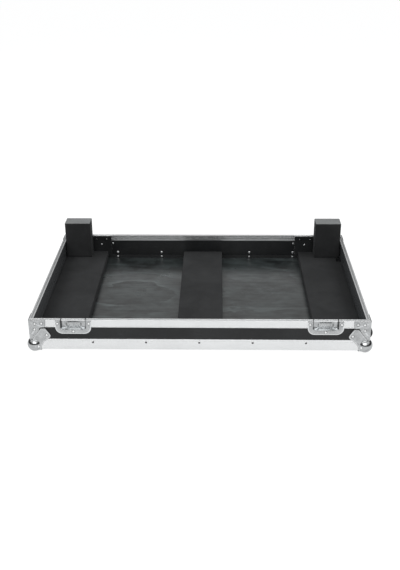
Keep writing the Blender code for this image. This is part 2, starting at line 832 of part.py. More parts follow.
def make_wheels():
    half = WHEEL_WIDTH / 2
    hub_face = half + WHEEL_SIDE_CLEARANCE / 2
    bore = AXLE_RADIUS + BORE_CLEARANCE
    shoulder = WHEEL_RADIUS - TYRE_SHOULDER
    crown = WHEEL_RADIUS - TYRE_CROWN
    near_half = [
        (bore, hub_face),
        (HUB_RADIUS, hub_face),
        (HUB_RADIUS, half - HUB_RECESS),
        (shoulder, half),
        (crown, half - TYRE_SIDE),
    ]
    profile = near_half + [(WHEEL_RADIUS, 0)] + [(r, -along) for r, along in reversed(near_half)]
    for end in (-1, 1):
        where = side_name(end, "front", "rear")
        y = end * WHEEL_OFFSET
        make_housing(where, y)
        turned(f"wheel_{where}", (WHEEL_X, y, WHEEL_Z), profile, TYRE)
        cylinder(
            f"wheel_axle_{where}",
            (WHEEL_X, y, WHEEL_Z),
            "Y",
            AXLE_RADIUS,
            2 * HOUSING_HALF - GAP,
            ALUMINIUM,
        )


def make_foam():
    inner_front = -HALF_DEPTH + PAN_DEPTH + GAP
    run = (inner_front, WALL_IN_Y - GAP)
    height = (FLOOR_TOP + GAP, BASE_Z + FOAM_TOP)
    wall = WALL_IN_X - GAP
    rim = HALF_LENGTH - RIM_DEPTH - GAP
    block_back = HALF_DEPTH - RIM_DEPTH - GAP
    for side in (-1, 1):
        strip = box(
            f"foam_strip_{side_name(side)}",
            (side * (wall - SIDE_STRIP_WIDTH), side * wall),
            run,
            height,
            FOAM,
        )
        if side > 0:
            cut(strip, *WELLS)
        block = box(
            f"foam_block_{side_name(side)}",
            (side * (rim - BLOCK_WIDTH), side * rim),
            (block_back - BLOCK_DEPTH, block_back),
            (height[1] + GAP, BASE_Z + BLOCK_TOP),
            FOAM,
        )
        bevel(block, BLOCK_EDGE, 1)
    box("foam_strip_centre", (-CENTRE_STRIP_WIDTH / 2, CENTRE_STRIP_WIDTH / 2), run, height, FOAM)


def make_base_rivets():
    first = -BASE_RIVET_PITCH * (BASE_RIVETS - 1) / 2
    for i in range(BASE_RIVETS):
        cylinder(
            f"base_rivet_{i + 1}",
            (
                first + BASE_RIVET_PITCH * i,
                -HALF_DEPTH - GAP - RIVET_HEAD_HEIGHT / 2,
                BASE_Z + BASE_RIVET_HEIGHT,
            ),
            "Y",
            RIVET_HEAD_RADIUS,
            RIVET_HEAD_HEIGHT,
            ALUMINIUM,
            sides=16,
        )


make_panels()
make_rims()
make_base_angles()
make_corner_angles()
make_corner_braces()
make_ball_corners()
make_latches()
make_hinge()
make_flap_bolts()
make_wheels()
make_foam()
make_base_rivets()
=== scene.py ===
"""Looks for the base tray of a wheeled flight case for a mixing desk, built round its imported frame."""

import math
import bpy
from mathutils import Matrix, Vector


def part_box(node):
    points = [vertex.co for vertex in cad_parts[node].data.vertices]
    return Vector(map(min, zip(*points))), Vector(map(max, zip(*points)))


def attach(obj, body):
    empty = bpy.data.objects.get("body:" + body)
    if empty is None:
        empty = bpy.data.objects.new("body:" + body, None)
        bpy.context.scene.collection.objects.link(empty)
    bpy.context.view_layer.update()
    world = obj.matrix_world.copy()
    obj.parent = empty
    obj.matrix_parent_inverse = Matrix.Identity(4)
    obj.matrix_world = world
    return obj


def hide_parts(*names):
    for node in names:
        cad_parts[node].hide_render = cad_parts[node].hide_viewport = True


bl_info = {
    "name": "Mixer Flight Case Tray",
    "version": (1, 0, 0),
    "blender": (4, 5, 0),
    "location": "View3D > Sidebar > Flight Case",
    "description": "Builds the visible pieces of a flight case's base tray over its solids",
    "category": "Object",
}

from contextlib import contextmanager
from functools import cache

import bmesh
import bpy
import numpy as np
from bpy.props import FloatProperty, FloatVectorProperty, IntProperty, PointerProperty
from mathutils import Matrix, Vector, noise
from mathutils.geometry import delaunay_2d_cdt

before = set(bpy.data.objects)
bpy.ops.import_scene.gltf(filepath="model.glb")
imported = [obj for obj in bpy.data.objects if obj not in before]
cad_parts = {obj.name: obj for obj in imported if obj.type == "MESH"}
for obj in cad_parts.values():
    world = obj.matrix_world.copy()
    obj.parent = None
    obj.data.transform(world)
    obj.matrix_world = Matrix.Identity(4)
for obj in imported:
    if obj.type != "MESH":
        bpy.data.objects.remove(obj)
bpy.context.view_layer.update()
MM = 0.001

# Boxes of the frame's nodes, each from its lowest to its highest corner
FRONT_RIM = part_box("front_rim")
SIDE_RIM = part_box("right_rim")
FLAP_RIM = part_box("flap_rim")
REAR_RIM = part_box("rear_rim_right")
BASE_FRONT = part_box("base_angle_front")
BASE_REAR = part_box("base_angle_rear")
REAR_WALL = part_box("rear_wall")
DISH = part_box("latch_dish_right")
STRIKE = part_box("latch_strike_right")
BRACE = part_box("corner_brace_front_right")
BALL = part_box("ball_corner_front_right")
HINGE_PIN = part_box("hinge_pin")
HINGE_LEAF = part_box("hinge_fixed_leaf")
BOLT_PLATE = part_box("flap_bolt_plate_right")
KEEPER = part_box("flap_keeper_right")
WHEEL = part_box("wheel_front")

# Places and sizes taken from the boxes, measured from the middle of the tray
CENTRE_X = (FRONT_RIM[0].x + FRONT_RIM[1].x) / 2
CENTRE_Y = (BASE_FRONT[0].y + BASE_REAR[1].y) / 2
HALF_LENGTH = (FRONT_RIM[1].x - FRONT_RIM[0].x) / 2
HALF_DEPTH = (BASE_REAR[1].y - BASE_FRONT[0].y) / 2
BASE_Z = BASE_FRONT[0].z
BASE_LEG = BASE_FRONT[1].z - BASE_Z
RIM_TOP = FRONT_RIM[1].z
RIM_BOTTOM = FRONT_RIM[0].z
RIM_DEPTH = FRONT_RIM[1].y - FRONT_RIM[0].y
FLAP_HALF = (FLAP_RIM[1].x - FLAP_RIM[0].x) / 2
HINGE_Y = (HINGE_PIN[0].y + HINGE_PIN[1].y) / 2 - CENTRE_Y
HINGE_Z = (HINGE_PIN[0].z + HINGE_PIN[1].z) / 2
WALL_IN_Y = REAR_WALL[0].y - CENTRE_Y
DISH_X = (DISH[0].x + DISH[1].x) / 2 - CENTRE_X
DISH_HALF = (DISH[1].x - DISH[0].x) / 2
BRACE_REACH = HALF_LENGTH - (BRACE[0].x - CENTRE_X)
LOBE_REACH = HALF_LENGTH - (BALL[0].x - CENTRE_X)
LOBE_TOP = BALL[1].z - BASE_Z
BOLT_PLATE_X = (BOLT_PLATE[0].x + BOLT_PLATE[1].x) / 2 - CENTRE_X
KEEPER_X = (KEEPER[0].x + KEEPER[1].x) / 2 - CENTRE_X

# Room between pieces, thicknesses, and how far a plate's face stands off the case
GAP = 0.3 * MM
PLATE = 1.5 * MM
STAND = GAP + PLATE
METAL = 1.6 * MM
FLAP_PANEL_OVER = 0.6 * MM
HOUSING_LIP = 6 * MM

# Forms of the rims: the channel for the lid, the inner grooves and the flap's inner leg
RIDGE = 2.5 * MM
CHANNEL = 2.6 * MM
GROOVE = 1.1 * MM
GROOVE_LINES = (RIM_TOP - 4.2 * MM, RIM_TOP - 12.0 * MM)
FLAP_LEG = 21 * MM

# Latch pans, with the notches beside them in the front rim
PAN_WIDTH = 80 * MM
PAN_HEIGHT = 33 * MM
PAN_DEPTH = 13.5 * MM
PAN_CORNER = 7 * MM
NOTCH = 3.4 * MM

# The ball in each bottom corner, from the corner of the case inwards
BALL_INSET = 12.5 * MM
BALL_RADIUS = BALL[1].x - CENTRE_X - HALF_LENGTH + BALL_INSET + 1.5 * MM
BALL_MIDDLE = Vector((11 * MM, 11 * MM, 14.5 * MM))
BALL_BLEND = 2.5 * MM
BALL_RIVET = Vector((15 * MM, 0, -1 * MM))

# Rivets in millimetres, along from a corner or a middle and up from the base
BRACE_RIVETS = ((18, 91), (39, 92), (16, 71))
LOBE_RIVETS = ((53, 51),)
DISH_RIVETS = ((-49, 92), (49, 92), (0, 65))
BOLT_PLATE_RIVETS = ((-22.42, 66), (-22.42, 87), (22.42, 66), (22.42, 87))
BOLT_TAILS = ((372, 87), (410, 87))
BOLT_TAIL_LOW = (391, 66)
FLAP_END_RIVET = (347, 71)
HINGE_RIVET_MIDDLE = 10
HINGE_RIVETS = (-330, -160, HINGE_RIVET_MIDDLE, 179, 346)
HINGE_RIVETS_END = 340
FLAP_ROW, TRAY_ROW, BASE_ROW = 34, 16, 26
FRONT_PITCH, SIDE_PITCH, REAR_RIVET = 167, 150, 440

# Middles of the board's growth rings, and how close the rings lie along each axis
BOARD_HEARTS = (((-0.2575, 0.018, 0), (6.2, 12.2, 0)), ((0.30, -0.34, 0), (2.6, 8.5, 0)))

# The camera: its place from the middle of the base, its turns in degrees and its lengths
CAMERA_PLACE = (0.0551, -2.6846, 1.3334)
CAMERA_TURN = (25.421, 1.273, -0.344)
FOCAL_PIXELS, PHOTO_PIXELS, SENSOR_MM = 850, 570, 36

# The studio: strengths of the fill, the floor's glow and the lights
FILL_STRENGTH = 0.48
FLOOR_GLOW, GLOW_SHARE = 1.16, 0.78
FRONT_POWER, SIDE_POWER = 46, 36

SIDES = ((-1, "left"), (1, "right"))
ROWS = ((-1, "front"), (1, "rear"))
CORNERS = [(side, end, f"{row}_{where}") for side, where in SIDES for end, row in ROWS]


def length_property(name, description, default):
    return FloatProperty(name=name, description=description, default=default, unit="LENGTH")


def colour_property(name, description, default):
    return FloatVectorProperty(
        name=name, description=description, default=default, subtype="COLOR", min=0, max=1
    )


class TraySizes(bpy.types.PropertyGroup):
    """Sizes of the tray's small features."""

    rivet_head: length_property("Rivet Head", "Radius of a rivet's head", 3.9 * MM)
    rivet_rise: length_property("Rivet Rise", "Height of a rivet's head over its sheet", 1.5 * MM)
    sheet: length_property("Sheet", "Thickness of the pressed steel", 1.2 * MM)
    crown: length_property("Pressing", "How far pressed plates stand up inside their edge", 0.9 * MM)
    strip_edge: length_property("Strip Edge", "Rounding of the foam strips' edges", 1.6 * MM)
    block_edge: length_property("Block Edge", "Rounding of the foam blocks' edges", 2.4 * MM)
    knuckles: IntProperty(
        name="Hinge Knuckles", description="Knuckles of each hinge leaf", default=27, min=2, max=80
    )


class TrayColours(bpy.types.PropertyGroup):
    """Colours of the tray's finishes."""

    aluminium: colour_property("Aluminium", "Edge extrusions", (0.71, 0.72, 0.725))
    plating: colour_property("Plated Steel", "Corners, dishes and hinge", (0.40, 0.41, 0.415))
    laminate: colour_property("Laminate", "Wall panels", (0.0165, 0.0172, 0.0178))
    board: colour_property("Stained Board", "Floor board between the strips", (0.0105, 0.0128, 0.0128))
    foam: colour_property("Foam", "Strips and blocks", (0.0235, 0.0240, 0.0245))
    # Colour of the blocks' paler tops.
    pale_top_foam: colour_property("Cut Foam", "Pale skin on top of the blocks", (0.185, 0.19, 0.19))
    tyre: colour_property("Tyre", "Wheels", (0.006, 0.006, 0.0065))
    floor: colour_property("Studio Floor", "Floor under the tray", (0.86, 0.86, 0.86))


# Nodes
class Nodes:
    """Short calls for adding nodes to a tree and joining them."""

    def __init__(self, tree):
        self.tree = tree

    def put(self, socket, value):
        """Links a socket to another, or sets it to a number or a colour."""
        if isinstance(value, bpy.types.NodeSocket):
            self.tree.links.new(value, socket)
        elif socket.type == "RGBA" and len(value) == 3:
            socket.default_value = (*value, 1)
        else:
            socket.default_value = value

    def add(self, kind, sockets=None, output=0, **settings):
        """An output of a new node whose inputs are given by name or number."""
        node = self.tree.nodes.new(kind)
        for name, value in settings.items():
            setattr(node, name, value)
        for key, value in (sockets or {}).items():
            self.put(node.inputs[key], value)
        return node.outputs[output]

    def close(self, kind, value):
        """Hands a value to the tree's output node."""
        self.put(self.tree.nodes.new(kind).inputs[0], value)

    def maths(self, operation, a, b=0.0):
        return self.add("ShaderNodeMath", {0: a, 1: b}, operation=operation)

    def plus(self, a, b):
        return self.maths("ADD", a, b)

    def times(self, a, b):
        return self.maths("MULTIPLY", a, b)

    def ranged(self, value, low, high, to_low=0.0, to_high=1.0, **settings):
        sockets = {"Value": value, "From Min": low, "From Max": high, "To Min": to_low, "To Max": to_high}
        return self.add("ShaderNodeMapRange", sockets, **settings)

    def eased(self, *numbers):
        return self.ranged(*numbers, interpolation_type="SMOOTHSTEP")

    def blended(self, factor, a, b):
        """A number between two."""
        return self.add("ShaderNodeMix", {0: factor, 2: a, 3: b})

    def mixed(self, factor, a, b):
        """A colour between two."""
        return self.add("ShaderNodeMix", {0: factor, 6: a, 7: b}, 2, data_type="RGBA")

    def shaded(self, factor, a, b):
        """A shader between two."""
        return self.add("ShaderNodeMixShader", {0: factor, 1: a, 2: b})

    def ray(self, kind):
        """1 for rays of a kind."""
        return self.add("ShaderNodeLightPath", output=f"Is {kind} Ray")

    def seen_directly(self):
        """1 for rays from the camera and for what gloss and glass show."""
        either = self.maths("MAXIMUM", self.ray("Camera"), self.ray("Glossy"))
        return self.maths("MAXIMUM", either, self.ray("Transmission"))


class Finish(Nodes):
    """A Principled material whose patterns lie in Object coordinates."""

    def __init__(self, name, metallic=0.0):
        self.material = bpy.data.materials.new(name)
        self.material.use_nodes = True
        super().__init__(self.material.node_tree)
        self.shader = self.tree.nodes["Principled BSDF"]
        self.put(self.shader.inputs["Metallic"], metallic)
        self.place = self.add("ShaderNodeTexCoord", output="Object")

    def mapped(self, scale, move=(0, 0, 0)):
        return self.add("ShaderNodeMapping", {"Vector": self.place, "Scale": scale, "Location": move})

    def noise(self, scale, detail=4.0, roughness=0.55, distortion=0.0, stretch=(1, 1, 1), move=(0, 0, 0)):
        sockets = {"Vector": self.mapped(stretch, move), "Scale": scale, "Detail": detail}
        sockets |= {"Roughness": roughness, "Distortion": distortion}
        return self.add("ShaderNodeTexNoise", sockets)

    def cells(self, scale):
        return self.add("ShaderNodeTexVoronoi", {"Vector": self.place, "Scale": scale}, "Distance")

    def marked(self, name):
        """A value that the mesh carries, 0 where it has none."""
        return self.add("ShaderNodeAttribute", output="Fac", attribute_name=name)

    def length(self, middle, scale):
        """How far a place lies from a middle, with a scale for each axis."""
        move = tuple(-m * s for m, s in zip(middle, scale))
        return self.add("ShaderNodeVectorMath", {0: self.mapped(scale, move)}, "Value", operation="LENGTH")

    def bump(self, height, distance, strength, under=None):
        sockets = {"Height": height, "Distance": distance, "Strength": strength}
        if under:
            sockets["Normal"] = under
        return self.add("ShaderNodeBump", sockets)

    def done(self, **sockets):
        """The material, once the shader's inputs are set or linked by name."""
        for name, value in sockets.items():
            self.put(self.shader.inputs[name.replace("_", " ")], value)
        return self.material


# Materials
def paint(name):
    return getattr(bpy.context.scene.tray_colours, name)


def shade(colour, factor):
    return tuple(min(1.0, c * factor) for c in colour)


def extruded_aluminium(axis):
    """Satin aluminium with drawing lines along an axis, faint handling marks, dulled patches and painted
    shade where the mesh marks it.
    """
    colour = paint("aluminium")
    f = Finish(f"satin aluminium along {axis}", 0.88)
    lines = f.noise(9, 3, 0.6, stretch=[1.5 if name == axis else 90 for name in "xyz"])
    clouds = f.noise(6, 5, 0.6)
    marks = f.ranged(f.noise(70, 8, 0.7, 0.6), 0.62, 0.72)
    tone = f.mixed(f.ranged(clouds, 0.35, 0.7), shade(colour, 0.95), shade(colour, 1.04))
    tone = f.mixed(f.ranged(lines, 0.3, 0.7, 0.0, 0.28), tone, shade(colour, 0.86))
    tone = f.mixed(f.times(marks, 0.12), tone, shade(colour, 0.72))
    # Painted shade: the aluminium goes nearly black where the mesh marks its channel, inner grooves and lips.
    tone = f.mixed(f.marked("grime"), tone, shade(colour, 0.15))
    rough = f.plus(f.ranged(clouds, 0.3, 0.75, 0.205, 0.235), f.ranged(lines, 0.3, 0.7, -0.01, 0.02))
    return f.done(Base_Color=tone, Roughness=rough, Normal=f.bump(lines, 0.01 * MM, 0.15))


def plated_steel():
    """Bright zinc plating, a little cloudy, with fine scratches, painted light and painted shade where the
    mesh marks them.
    """
    colour = paint("plating")
    f = Finish("plated steel", 1.0)
    clouds = f.noise(55, 6, 0.62, 0.4)
    broad = f.noise(14, 3, 0.5)
    scratches = f.ranged(f.noise(60, 3, 0.6, 0.6, stretch=(4, 1, 1.6)), 0.60, 0.68)
    tone = f.mixed(f.ranged(clouds, 0.32, 0.7), shade(colour, 0.78), shade(colour, 1.22))
    tone = f.mixed(f.ranged(broad, 0.4, 0.7, 0.0, 0.35), tone, shade(colour, 1.22))
    tone = f.mixed(f.times(scratches, 0.45), tone, shade(colour, 1.5))
    # Painted light: paler plating where the mesh marks ribs, raised borders, flange edges and the pans' lower
    # walls.
    tone = f.mixed(f.marked("worn"), tone, shade(colour, 1.7))
    # Painted shade: dark plating, also a little rougher, where the mesh marks outlines, rivet rings and the
    # pans' sides.
    grime = f.marked("grime")
    tone = f.mixed(grime, tone, shade(colour, 0.10))
    rough = f.plus(f.ranged(clouds, 0.3, 0.72, 0.20, 0.33), f.times(grime, 0.3))
    rough = f.maths("SUBTRACT", rough, f.times(f.marked("polished"), 0.11))
    return f.done(Base_Color=tone, Roughness=rough, Normal=f.bump(clouds, 0.05 * MM, 0.3))


def black_laminate():
    """Black laminate with a fine pebbled face, a few dull scuffs and painted light where the mesh marks it.
    """
    colour = paint("laminate")
    f = Finish("black laminate")
    pebbles = f.cells(620)
    grain = f.noise(900, 2, 0.5)
    scuffs = f.ranged(f.noise(24, 8, 0.72, 0.8, stretch=(1, 1, 2.5)), 0.60, 0.74)
    tone = f.mixed(f.ranged(f.noise(9, 4), 0.35, 0.7), shade(colour, 0.8), shade(colour, 1.3))
    tone = f.mixed(f.times(scuffs, 0.22), tone, shade(colour, 3.2))
    # Painted light: the laminate is paler where the mesh marks the inner faces of the side walls.
    tone = f.mixed(f.marked("worn"), tone, shade(colour, 3.4))
    rough = f.plus(f.ranged(grain, 0.3, 0.7, 0.22, 0.30), f.times(scuffs, 0.08))
    normal = f.bump(grain, 0.04 * MM, 0.3, f.bump(pebbles, 0.08 * MM, 0.25))
    return f.done(Base_Color=tone, Roughness=rough, Normal=normal, Specular_IOR_Level=0.22)


def painted_steel():
    """Satin black paint over the wheel housings, chipped to grey on its high spots."""
    colour = shade(paint("tyre"), 1.4)
    f = Finish("black paint")
    orange = f.noise(420, 2, 0.5)
    chips = f.ranged(f.noise(95, 7, 0.7, 0.5), 0.66, 0.70)
    tone = f.mixed(f.times(chips, 0.5), shade(colour, 1.1), (0.10, 0.10, 0.10))
    rough = f.plus(f.ranged(orange, 0.3, 0.7, 0.32, 0.42), f.times(chips, 0.2))
    normal = f.bump(orange, 0.05 * MM, 0.5)
    return f.done(Base_Color=tone, Roughness=rough, Normal=normal, Specular_IOR_Level=0.15)


def stained_board():
    """Black-stained plywood with a sheen from wear: growth rings, pores, pale rubbed patches and streaks."""
    colour = paint("board")
    f = Finish("stained plywood")
    warp = f.noise(7.0, 3, 0.5, 0.5, stretch=(0.7, 1.5, 1), move=(0.4, 0.9, 0))
    ripple = f.noise(38, 3, 0.6, stretch=(0.35, 1.4, 1))
    figure = f.maths("MINIMUM", *(f.length(middle, scale) for middle, scale in BOARD_HEARTS))
    figure = f.plus(figure, f.ranged(warp, 0.3, 0.7, -0.30, 0.30))
    figure = f.plus(figure, f.ranged(ripple, 0.3, 0.7, -0.05, 0.05))
    ring = f.maths("FRACT", figure)
    streaks = f.noise(1.0, 5, 0.65, 0.6, stretch=(6, 75, 75))
    pores = f.noise(1.0, 5, 0.65, stretch=(14, 420, 420))
    patches = f.noise(8.0, 5, 0.62, 0.8, stretch=(0.8, 1.2, 1), move=(1.7, 0, 0))
    rubbed = f.ranged(f.noise(22, 6, 0.68, 0.8, stretch=(0.8, 1.3, 1), move=(3, 1, 0)), 0.42, 0.64)
    broken = f.ranged(f.noise(26, 4, 0.6, stretch=(0.5, 1.2, 1)), 0.42, 0.58, 0.15, 1.0)
    near = f.times(f.ranged(figure, 0.45, 0.85), f.ranged(figure, 1.2, 3.0, 1.0, 0.4))
    near = f.times(near, broken)
    tone = f.mixed(f.ranged(patches, 0.38, 0.62), shade(colour, 0.5), shade(colour, 2.4))
    tone = f.mixed(f.times(rubbed, 0.7), tone, shade(colour, 4.2))
    tone = f.mixed(f.times(f.ranged(ring, 0.24, 0.03), near), tone, shade(colour, 6.5))
    tone = f.mixed(f.times(f.ranged(ring, 0.5, 1.0), near), tone, shade(colour, 0.2))
    tone = f.mixed(f.ranged(streaks, 0.42, 0.66, 0.0, 0.4), tone, shade(colour, 0.2))
    tone = f.mixed(f.ranged(pores, 0.60, 0.70, 0.0, 0.4), tone, shade(colour, 0.3))
    rough = f.plus(f.ranged(patches, 0.3, 0.7, 0.34, 0.26), f.ranged(streaks, 0.4, 0.7, 0.0, 0.10))
    normal = f.bump(pores, 0.06 * MM, 0.3, f.bump(streaks, 0.10 * MM, 0.25))
    return f.done(Base_Color=tone, Roughness=rough, Normal=normal, Specular_IOR_Level=0.8)


def cell_foam():
    """Cut black foam: fine cells, faint mottling and a dusty sheen at low angles."""
    colour, pale_top = paint("foam"), paint("pale_top_foam")
    f = Finish("black foam")
    cells = f.cells(760)
    dust = f.noise(11, 6, 0.6, 0.4)
    tone = f.mixed(f.ranged(dust, 0.35, 0.72), shade(colour, 0.85), shade(colour, 1.3))
    pale = f.mixed(f.ranged(dust, 0.3, 0.7), shade(pale_top, 0.88), shade(pale_top, 1.12))
    # Paler colour on the block tops, where the mesh marks them.
    tone = f.mixed(f.marked("cut"), tone, pale)
    tone = f.mixed(f.ranged(cells, 0.05, 0.45, 0.45, 0.0), tone, shade(colour, 0.35))
    normal = f.bump(f.cells(310), 0.25 * MM, 0.35, f.bump(cells, 0.3 * MM, 0.6))
    rough = f.ranged(cells, 0.0, 0.5, 0.92, 0.8)
    sheen = {"Sheen_Weight": 0.03, "Sheen_Roughness": 0.5, "Sheen_Tint": (0.75, 0.78, 0.8)}
    return f.done(Base_Color=tone, Roughness=rough, Normal=normal, Specular_IOR_Level=0.12, **sheen)


def tyre_rubber():
    """Black polyurethane with a matt moulded skin and a dusty running face."""
    colour = paint("tyre")
    f = Finish("black polyurethane")
    dust = f.ranged(f.noise(60, 6, 0.65), 0.5, 0.75)
    tone = f.mixed(dust, colour, shade(colour, 3.0))
    normal = f.bump(f.noise(500, 3, 0.6), 0.08 * MM, 0.4)
    rough = f.ranged(dust, 0, 1, 0.42, 0.7)
    return f.done(Base_Color=tone, Roughness=rough, Normal=normal, Specular_IOR_Level=0.25)


def rivet_metal():
    """Bright rivet heads whose pin, marked by an attribute, is darker."""
    colour = shade(paint("aluminium"), 1.25)
    f = Finish("rivet aluminium", 1.0)
    clouds = f.noise(300, 3, 0.6)
    tone = f.mixed(f.ranged(clouds, 0.35, 0.7), shade(colour, 0.88), shade(colour, 1.12))
    tone = f.mixed(f.marked("pin"), tone, shade(colour, 0.12))
    return f.done(Base_Color=tone, Roughness=f.ranged(clouds, 0.3, 0.7, 0.25, 0.4))


MAKERS = {
    "plated": plated_steel,
    "laminate": black_laminate,
    "board": stained_board,
    "foam": cell_foam,
    "tyre": tyre_rubber,
    "painted": painted_steel,
    "rivet": rivet_metal,
}


@cache
def finish(name):
    """The material of a name, made when it is first asked for."""
    if name.startswith("aluminium_"):
        return extruded_aluminium(name[-1])
    return MAKERS[name]()


# Meshes
def at(x, y, z):
    """A point in the frame from one measured from the middle of the tray."""
    return Vector((CENTRE_X + x, CENTRE_Y + y, z))


def array_of(points):
    return np.array([tuple(p) for p in points], float)


def ease(values, low, high):
    """0 below low and 1 above high, with a soft step between."""
    t = np.clip((np.asarray(values, float) - low) / (high - low), 0, 1)
    return t * t * (3 - 2 * t)


def object_of(name, mesh):
    obj = bpy.data.objects.new(name, mesh)
    bpy.context.scene.collection.objects.link(obj)
    return obj


def mesh_of(name, points, faces=(), edges=()):
    mesh = bpy.data.meshes.new(name)
    mesh.from_pydata([tuple(p) for p in points], edges, [tuple(int(i) for i in face) for face in faces])
    return mesh


@contextmanager
def edited(mesh):
    """The mesh opened for changes, which are kept in it afterwards."""
    shape = bmesh.new()
    shape.from_mesh(mesh)
    yield shape
    shape.to_mesh(mesh)
    shape.free()


def marked(mesh, name, values):
    """The mesh with a value kept on each of its points."""
    mesh.attributes.new(name, "FLOAT", "POINT").data.foreach_set("value", [float(v) for v in values])
    return mesh


def cleaned(mesh, within=1e-6):
    """Doubles merged and faces turned outwards."""
    with edited(mesh) as shape:
        bmesh.ops.remove_doubles(shape, verts=shape.verts, dist=within)
        bmesh.ops.recalc_face_normals(shape, faces=shape.faces)
    return mesh


def smooth(mesh, degrees=35):
    mesh.shade_smooth()
    mesh.set_sharp_from_angle(angle=math.radians(degrees))
    return mesh


def baked(obj):
    """The object's mesh with its modifiers applied, and the object gone."""
    bpy.context.view_layer.update()
    evaluated = obj.evaluated_get(bpy.context.evaluated_depsgraph_get())
    mesh = bpy.data.meshes.new_from_object(evaluated)
    mesh.name = obj.name
    bpy.data.objects.remove(obj, do_unlink=True)
    return mesh


def box_mesh(name, low, high):
    place = Matrix.Translation((low + high) / 2) @ Matrix.Diagonal((*(high - low), 1))
    mesh = bpy.data.meshes.new(name)
    with edited(mesh) as shape:
        bmesh.ops.create_cube(shape, size=1, matrix=place)
    return mesh


def carved(mesh, rooms):
    """A mesh less the boxes given by their lowest and highest corners."""
    obj = object_of(mesh.name, mesh)
    tools = [object_of(f"cutter {i}", box_mesh("cutter", low, high)) for i, (low, high) in enumerate(rooms)]
    for tool in tools:
        step = obj.modifiers.new("cut", "BOOLEAN")
        step.object = tool
        step.operation = "DIFFERENCE"
        step.solver = "EXACT"
    made = baked(obj)
    for tool in tools:
        bpy.data.objects.remove(tool, do_unlink=True)
    return made


def bevelled(mesh, width, segments=2, degrees=30):
    obj = object_of(mesh.name, mesh)
    step = obj.modifiers.new("edges", "BEVEL")
    step.width = width
    step.segments = segments
    step.limit_method = "ANGLE"
    step.angle_limit = math.radians(degrees)
    return baked(obj)


def dressed(mesh, finish_name):
    """The mesh with a finish in place of its materials."""
    mesh.materials.clear()
    mesh.materials.append(finish(finish_name))
    return mesh


def piece(name, mesh, finish_name, replaced=(), body="tray"):
    """A finished piece that rides on a body and may stand for nodes of the frame."""
    obj = object_of(name, dressed(mesh, finish_name))
    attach(obj, body)
    if replaced:
        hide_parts(*replaced)
    return obj


def softened(node, finish_name, width, segments=2, body="tray"):
    """A node of the frame with its flat faces made whole and its edges broken."""
    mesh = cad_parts[node].data.copy()
    mesh.name = node
    with edited(mesh) as shape:
        bmesh.ops.remove_doubles(shape, verts=shape.verts, dist=1e-5)
        bmesh.ops.dissolve_limit(shape, angle_limit=math.radians(0.5), verts=shape.verts, edges=shape.edges)
    for name in [a.name for a in mesh.attributes if a.name in ("custom_normal", "sharp_edge")]:
        mesh.attributes.remove(mesh.attributes[name])
    return piece(f"{node}_edged", smooth(bevelled(mesh, width, segments)), finish_name, [node], body)


def mirrored(corners, across=-1, up=1):
    """Corners of an outline, then the same corners reflected in the other order."""
    return corners + [(x * across, y * up, radius) for x, y, radius in reversed(corners)]


def rounded(corners, steps=4):
    """Points of an outline whose corners are (across, up, radius)."""
    points = []
    for i, (across, up, radius) in enumerate(corners):
        here = Vector((across, up))
        if not radius:
            points.append(here)
            continue
        before = Vector(corners[i - 1][:2]) - here
        after = Vector(corners[(i + 1) % len(corners)][:2]) - here
        half = before.angle(after) / 2
        reach = min(radius / math.tan(half), 0.49 * before.length, 0.49 * after.length)
        start = here + before.normalized() * reach
        end = here + after.normalized() * reach
        centre = here + (before.normalized() + after.normalized()).normalized() * reach / math.cos(half)
        first = start - centre
        sweep = first.angle_signed(end - centre)
        for k in range(steps + 1):
            turned = first.copy()
            turned.rotate(Matrix.Rotation(-sweep * k / steps, 2))
            points.append(centre + turned)
    return points


def spaced(outline, cell):
    """A closed outline with a point at least each cell."""
    points = []
    for i, here in enumerate(outline):
        there = outline[(i + 1) % len(outline)]
        count = max(1, math.ceil((there - here).length / cell))
        points += [here.lerp(there, k / count) for k in range(count)]
    return points


def depth_inside(points, outline):
    """How far each point lies inside a closed outline, negative outside."""
    p = array_of(points)[:, None, :]
    a = array_of(outline)
    b = np.roll(a, -1, axis=0)
    ab = b - a
    along = np.clip(((p - a) * ab).sum(-1) / np.maximum((ab * ab).sum(-1), 1e-18), 0, 1)
    near = np.sqrt(((p - a - along[..., None] * ab) ** 2).sum(-1)).min(axis=1)
    crosses = (a[:, 1] > p[..., 1]) != (b[:, 1] > p[..., 1])
    rise = np.where(np.abs(ab[:, 1]) < 1e-12, 1e-12, ab[:, 1])
    meets = a[:, 0] + (p[..., 1] - a[:, 1]) * ab[:, 0] / rise
    inside = (crosses & (p[..., 0] < meets)).sum(axis=1) % 2 == 1
    return np.where(inside, near, -near)


def filled(outline, cell, lines=()):
    """Points and triangles of a flat outline, from a grid a cell apart with extra lines kept as edges."""
    loops = [spaced(outline, cell)] + [spaced(line, cell) for line in lines]
    verts, edges = [], []
    for loop in loops:
        first = len(verts)
        verts += loop
        edges += [(first + i, first + (i + 1) % len(loop)) for i in range(len(loop))]
    across = [v.x for v in loops[0]]
    up = [v.y for v in loops[0]]
    rows = np.arange(min(up) + cell / 2, max(up), cell * 0.87)
    grid = [
        Vector((x + (cell / 2 if r % 2 else 0), y))
        for r, y in enumerate(rows)
        for x in np.arange(min(across), max(across) + cell, cell)
    ]
    keep = depth_inside(grid, loops[0]) > cell * 0.55
    for loop in loops[1:]:
        keep &= np.abs(depth_inside(grid, loop)) > cell * 0.55
    verts += [g for g, ok in zip(grid, keep) if ok]
    made = delaunay_2d_cdt(verts, edges, [], 1, 1e-7)
    return made[0], made[2]


def pressed(mesh, inside, thickness):
    """A sheet whose faces look away from a point inside the tray, given thickness behind them."""
    with edited(mesh) as shape:
        bmesh.ops.recalc_face_normals(shape, faces=shape.faces)
        if sum(f.normal.dot(f.calc_center_median() - inside) * f.calc_area() for f in shape.faces) < 0:
            bmesh.ops.reverse_faces(shape, faces=shape.faces)
    obj = object_of(mesh.name, mesh)
    step = obj.modifiers.new("sheet", "SOLIDIFY")
    step.thickness = thickness
    step.offset = -1
    step.use_even_offset = True
    return smooth(baked(obj), 40)


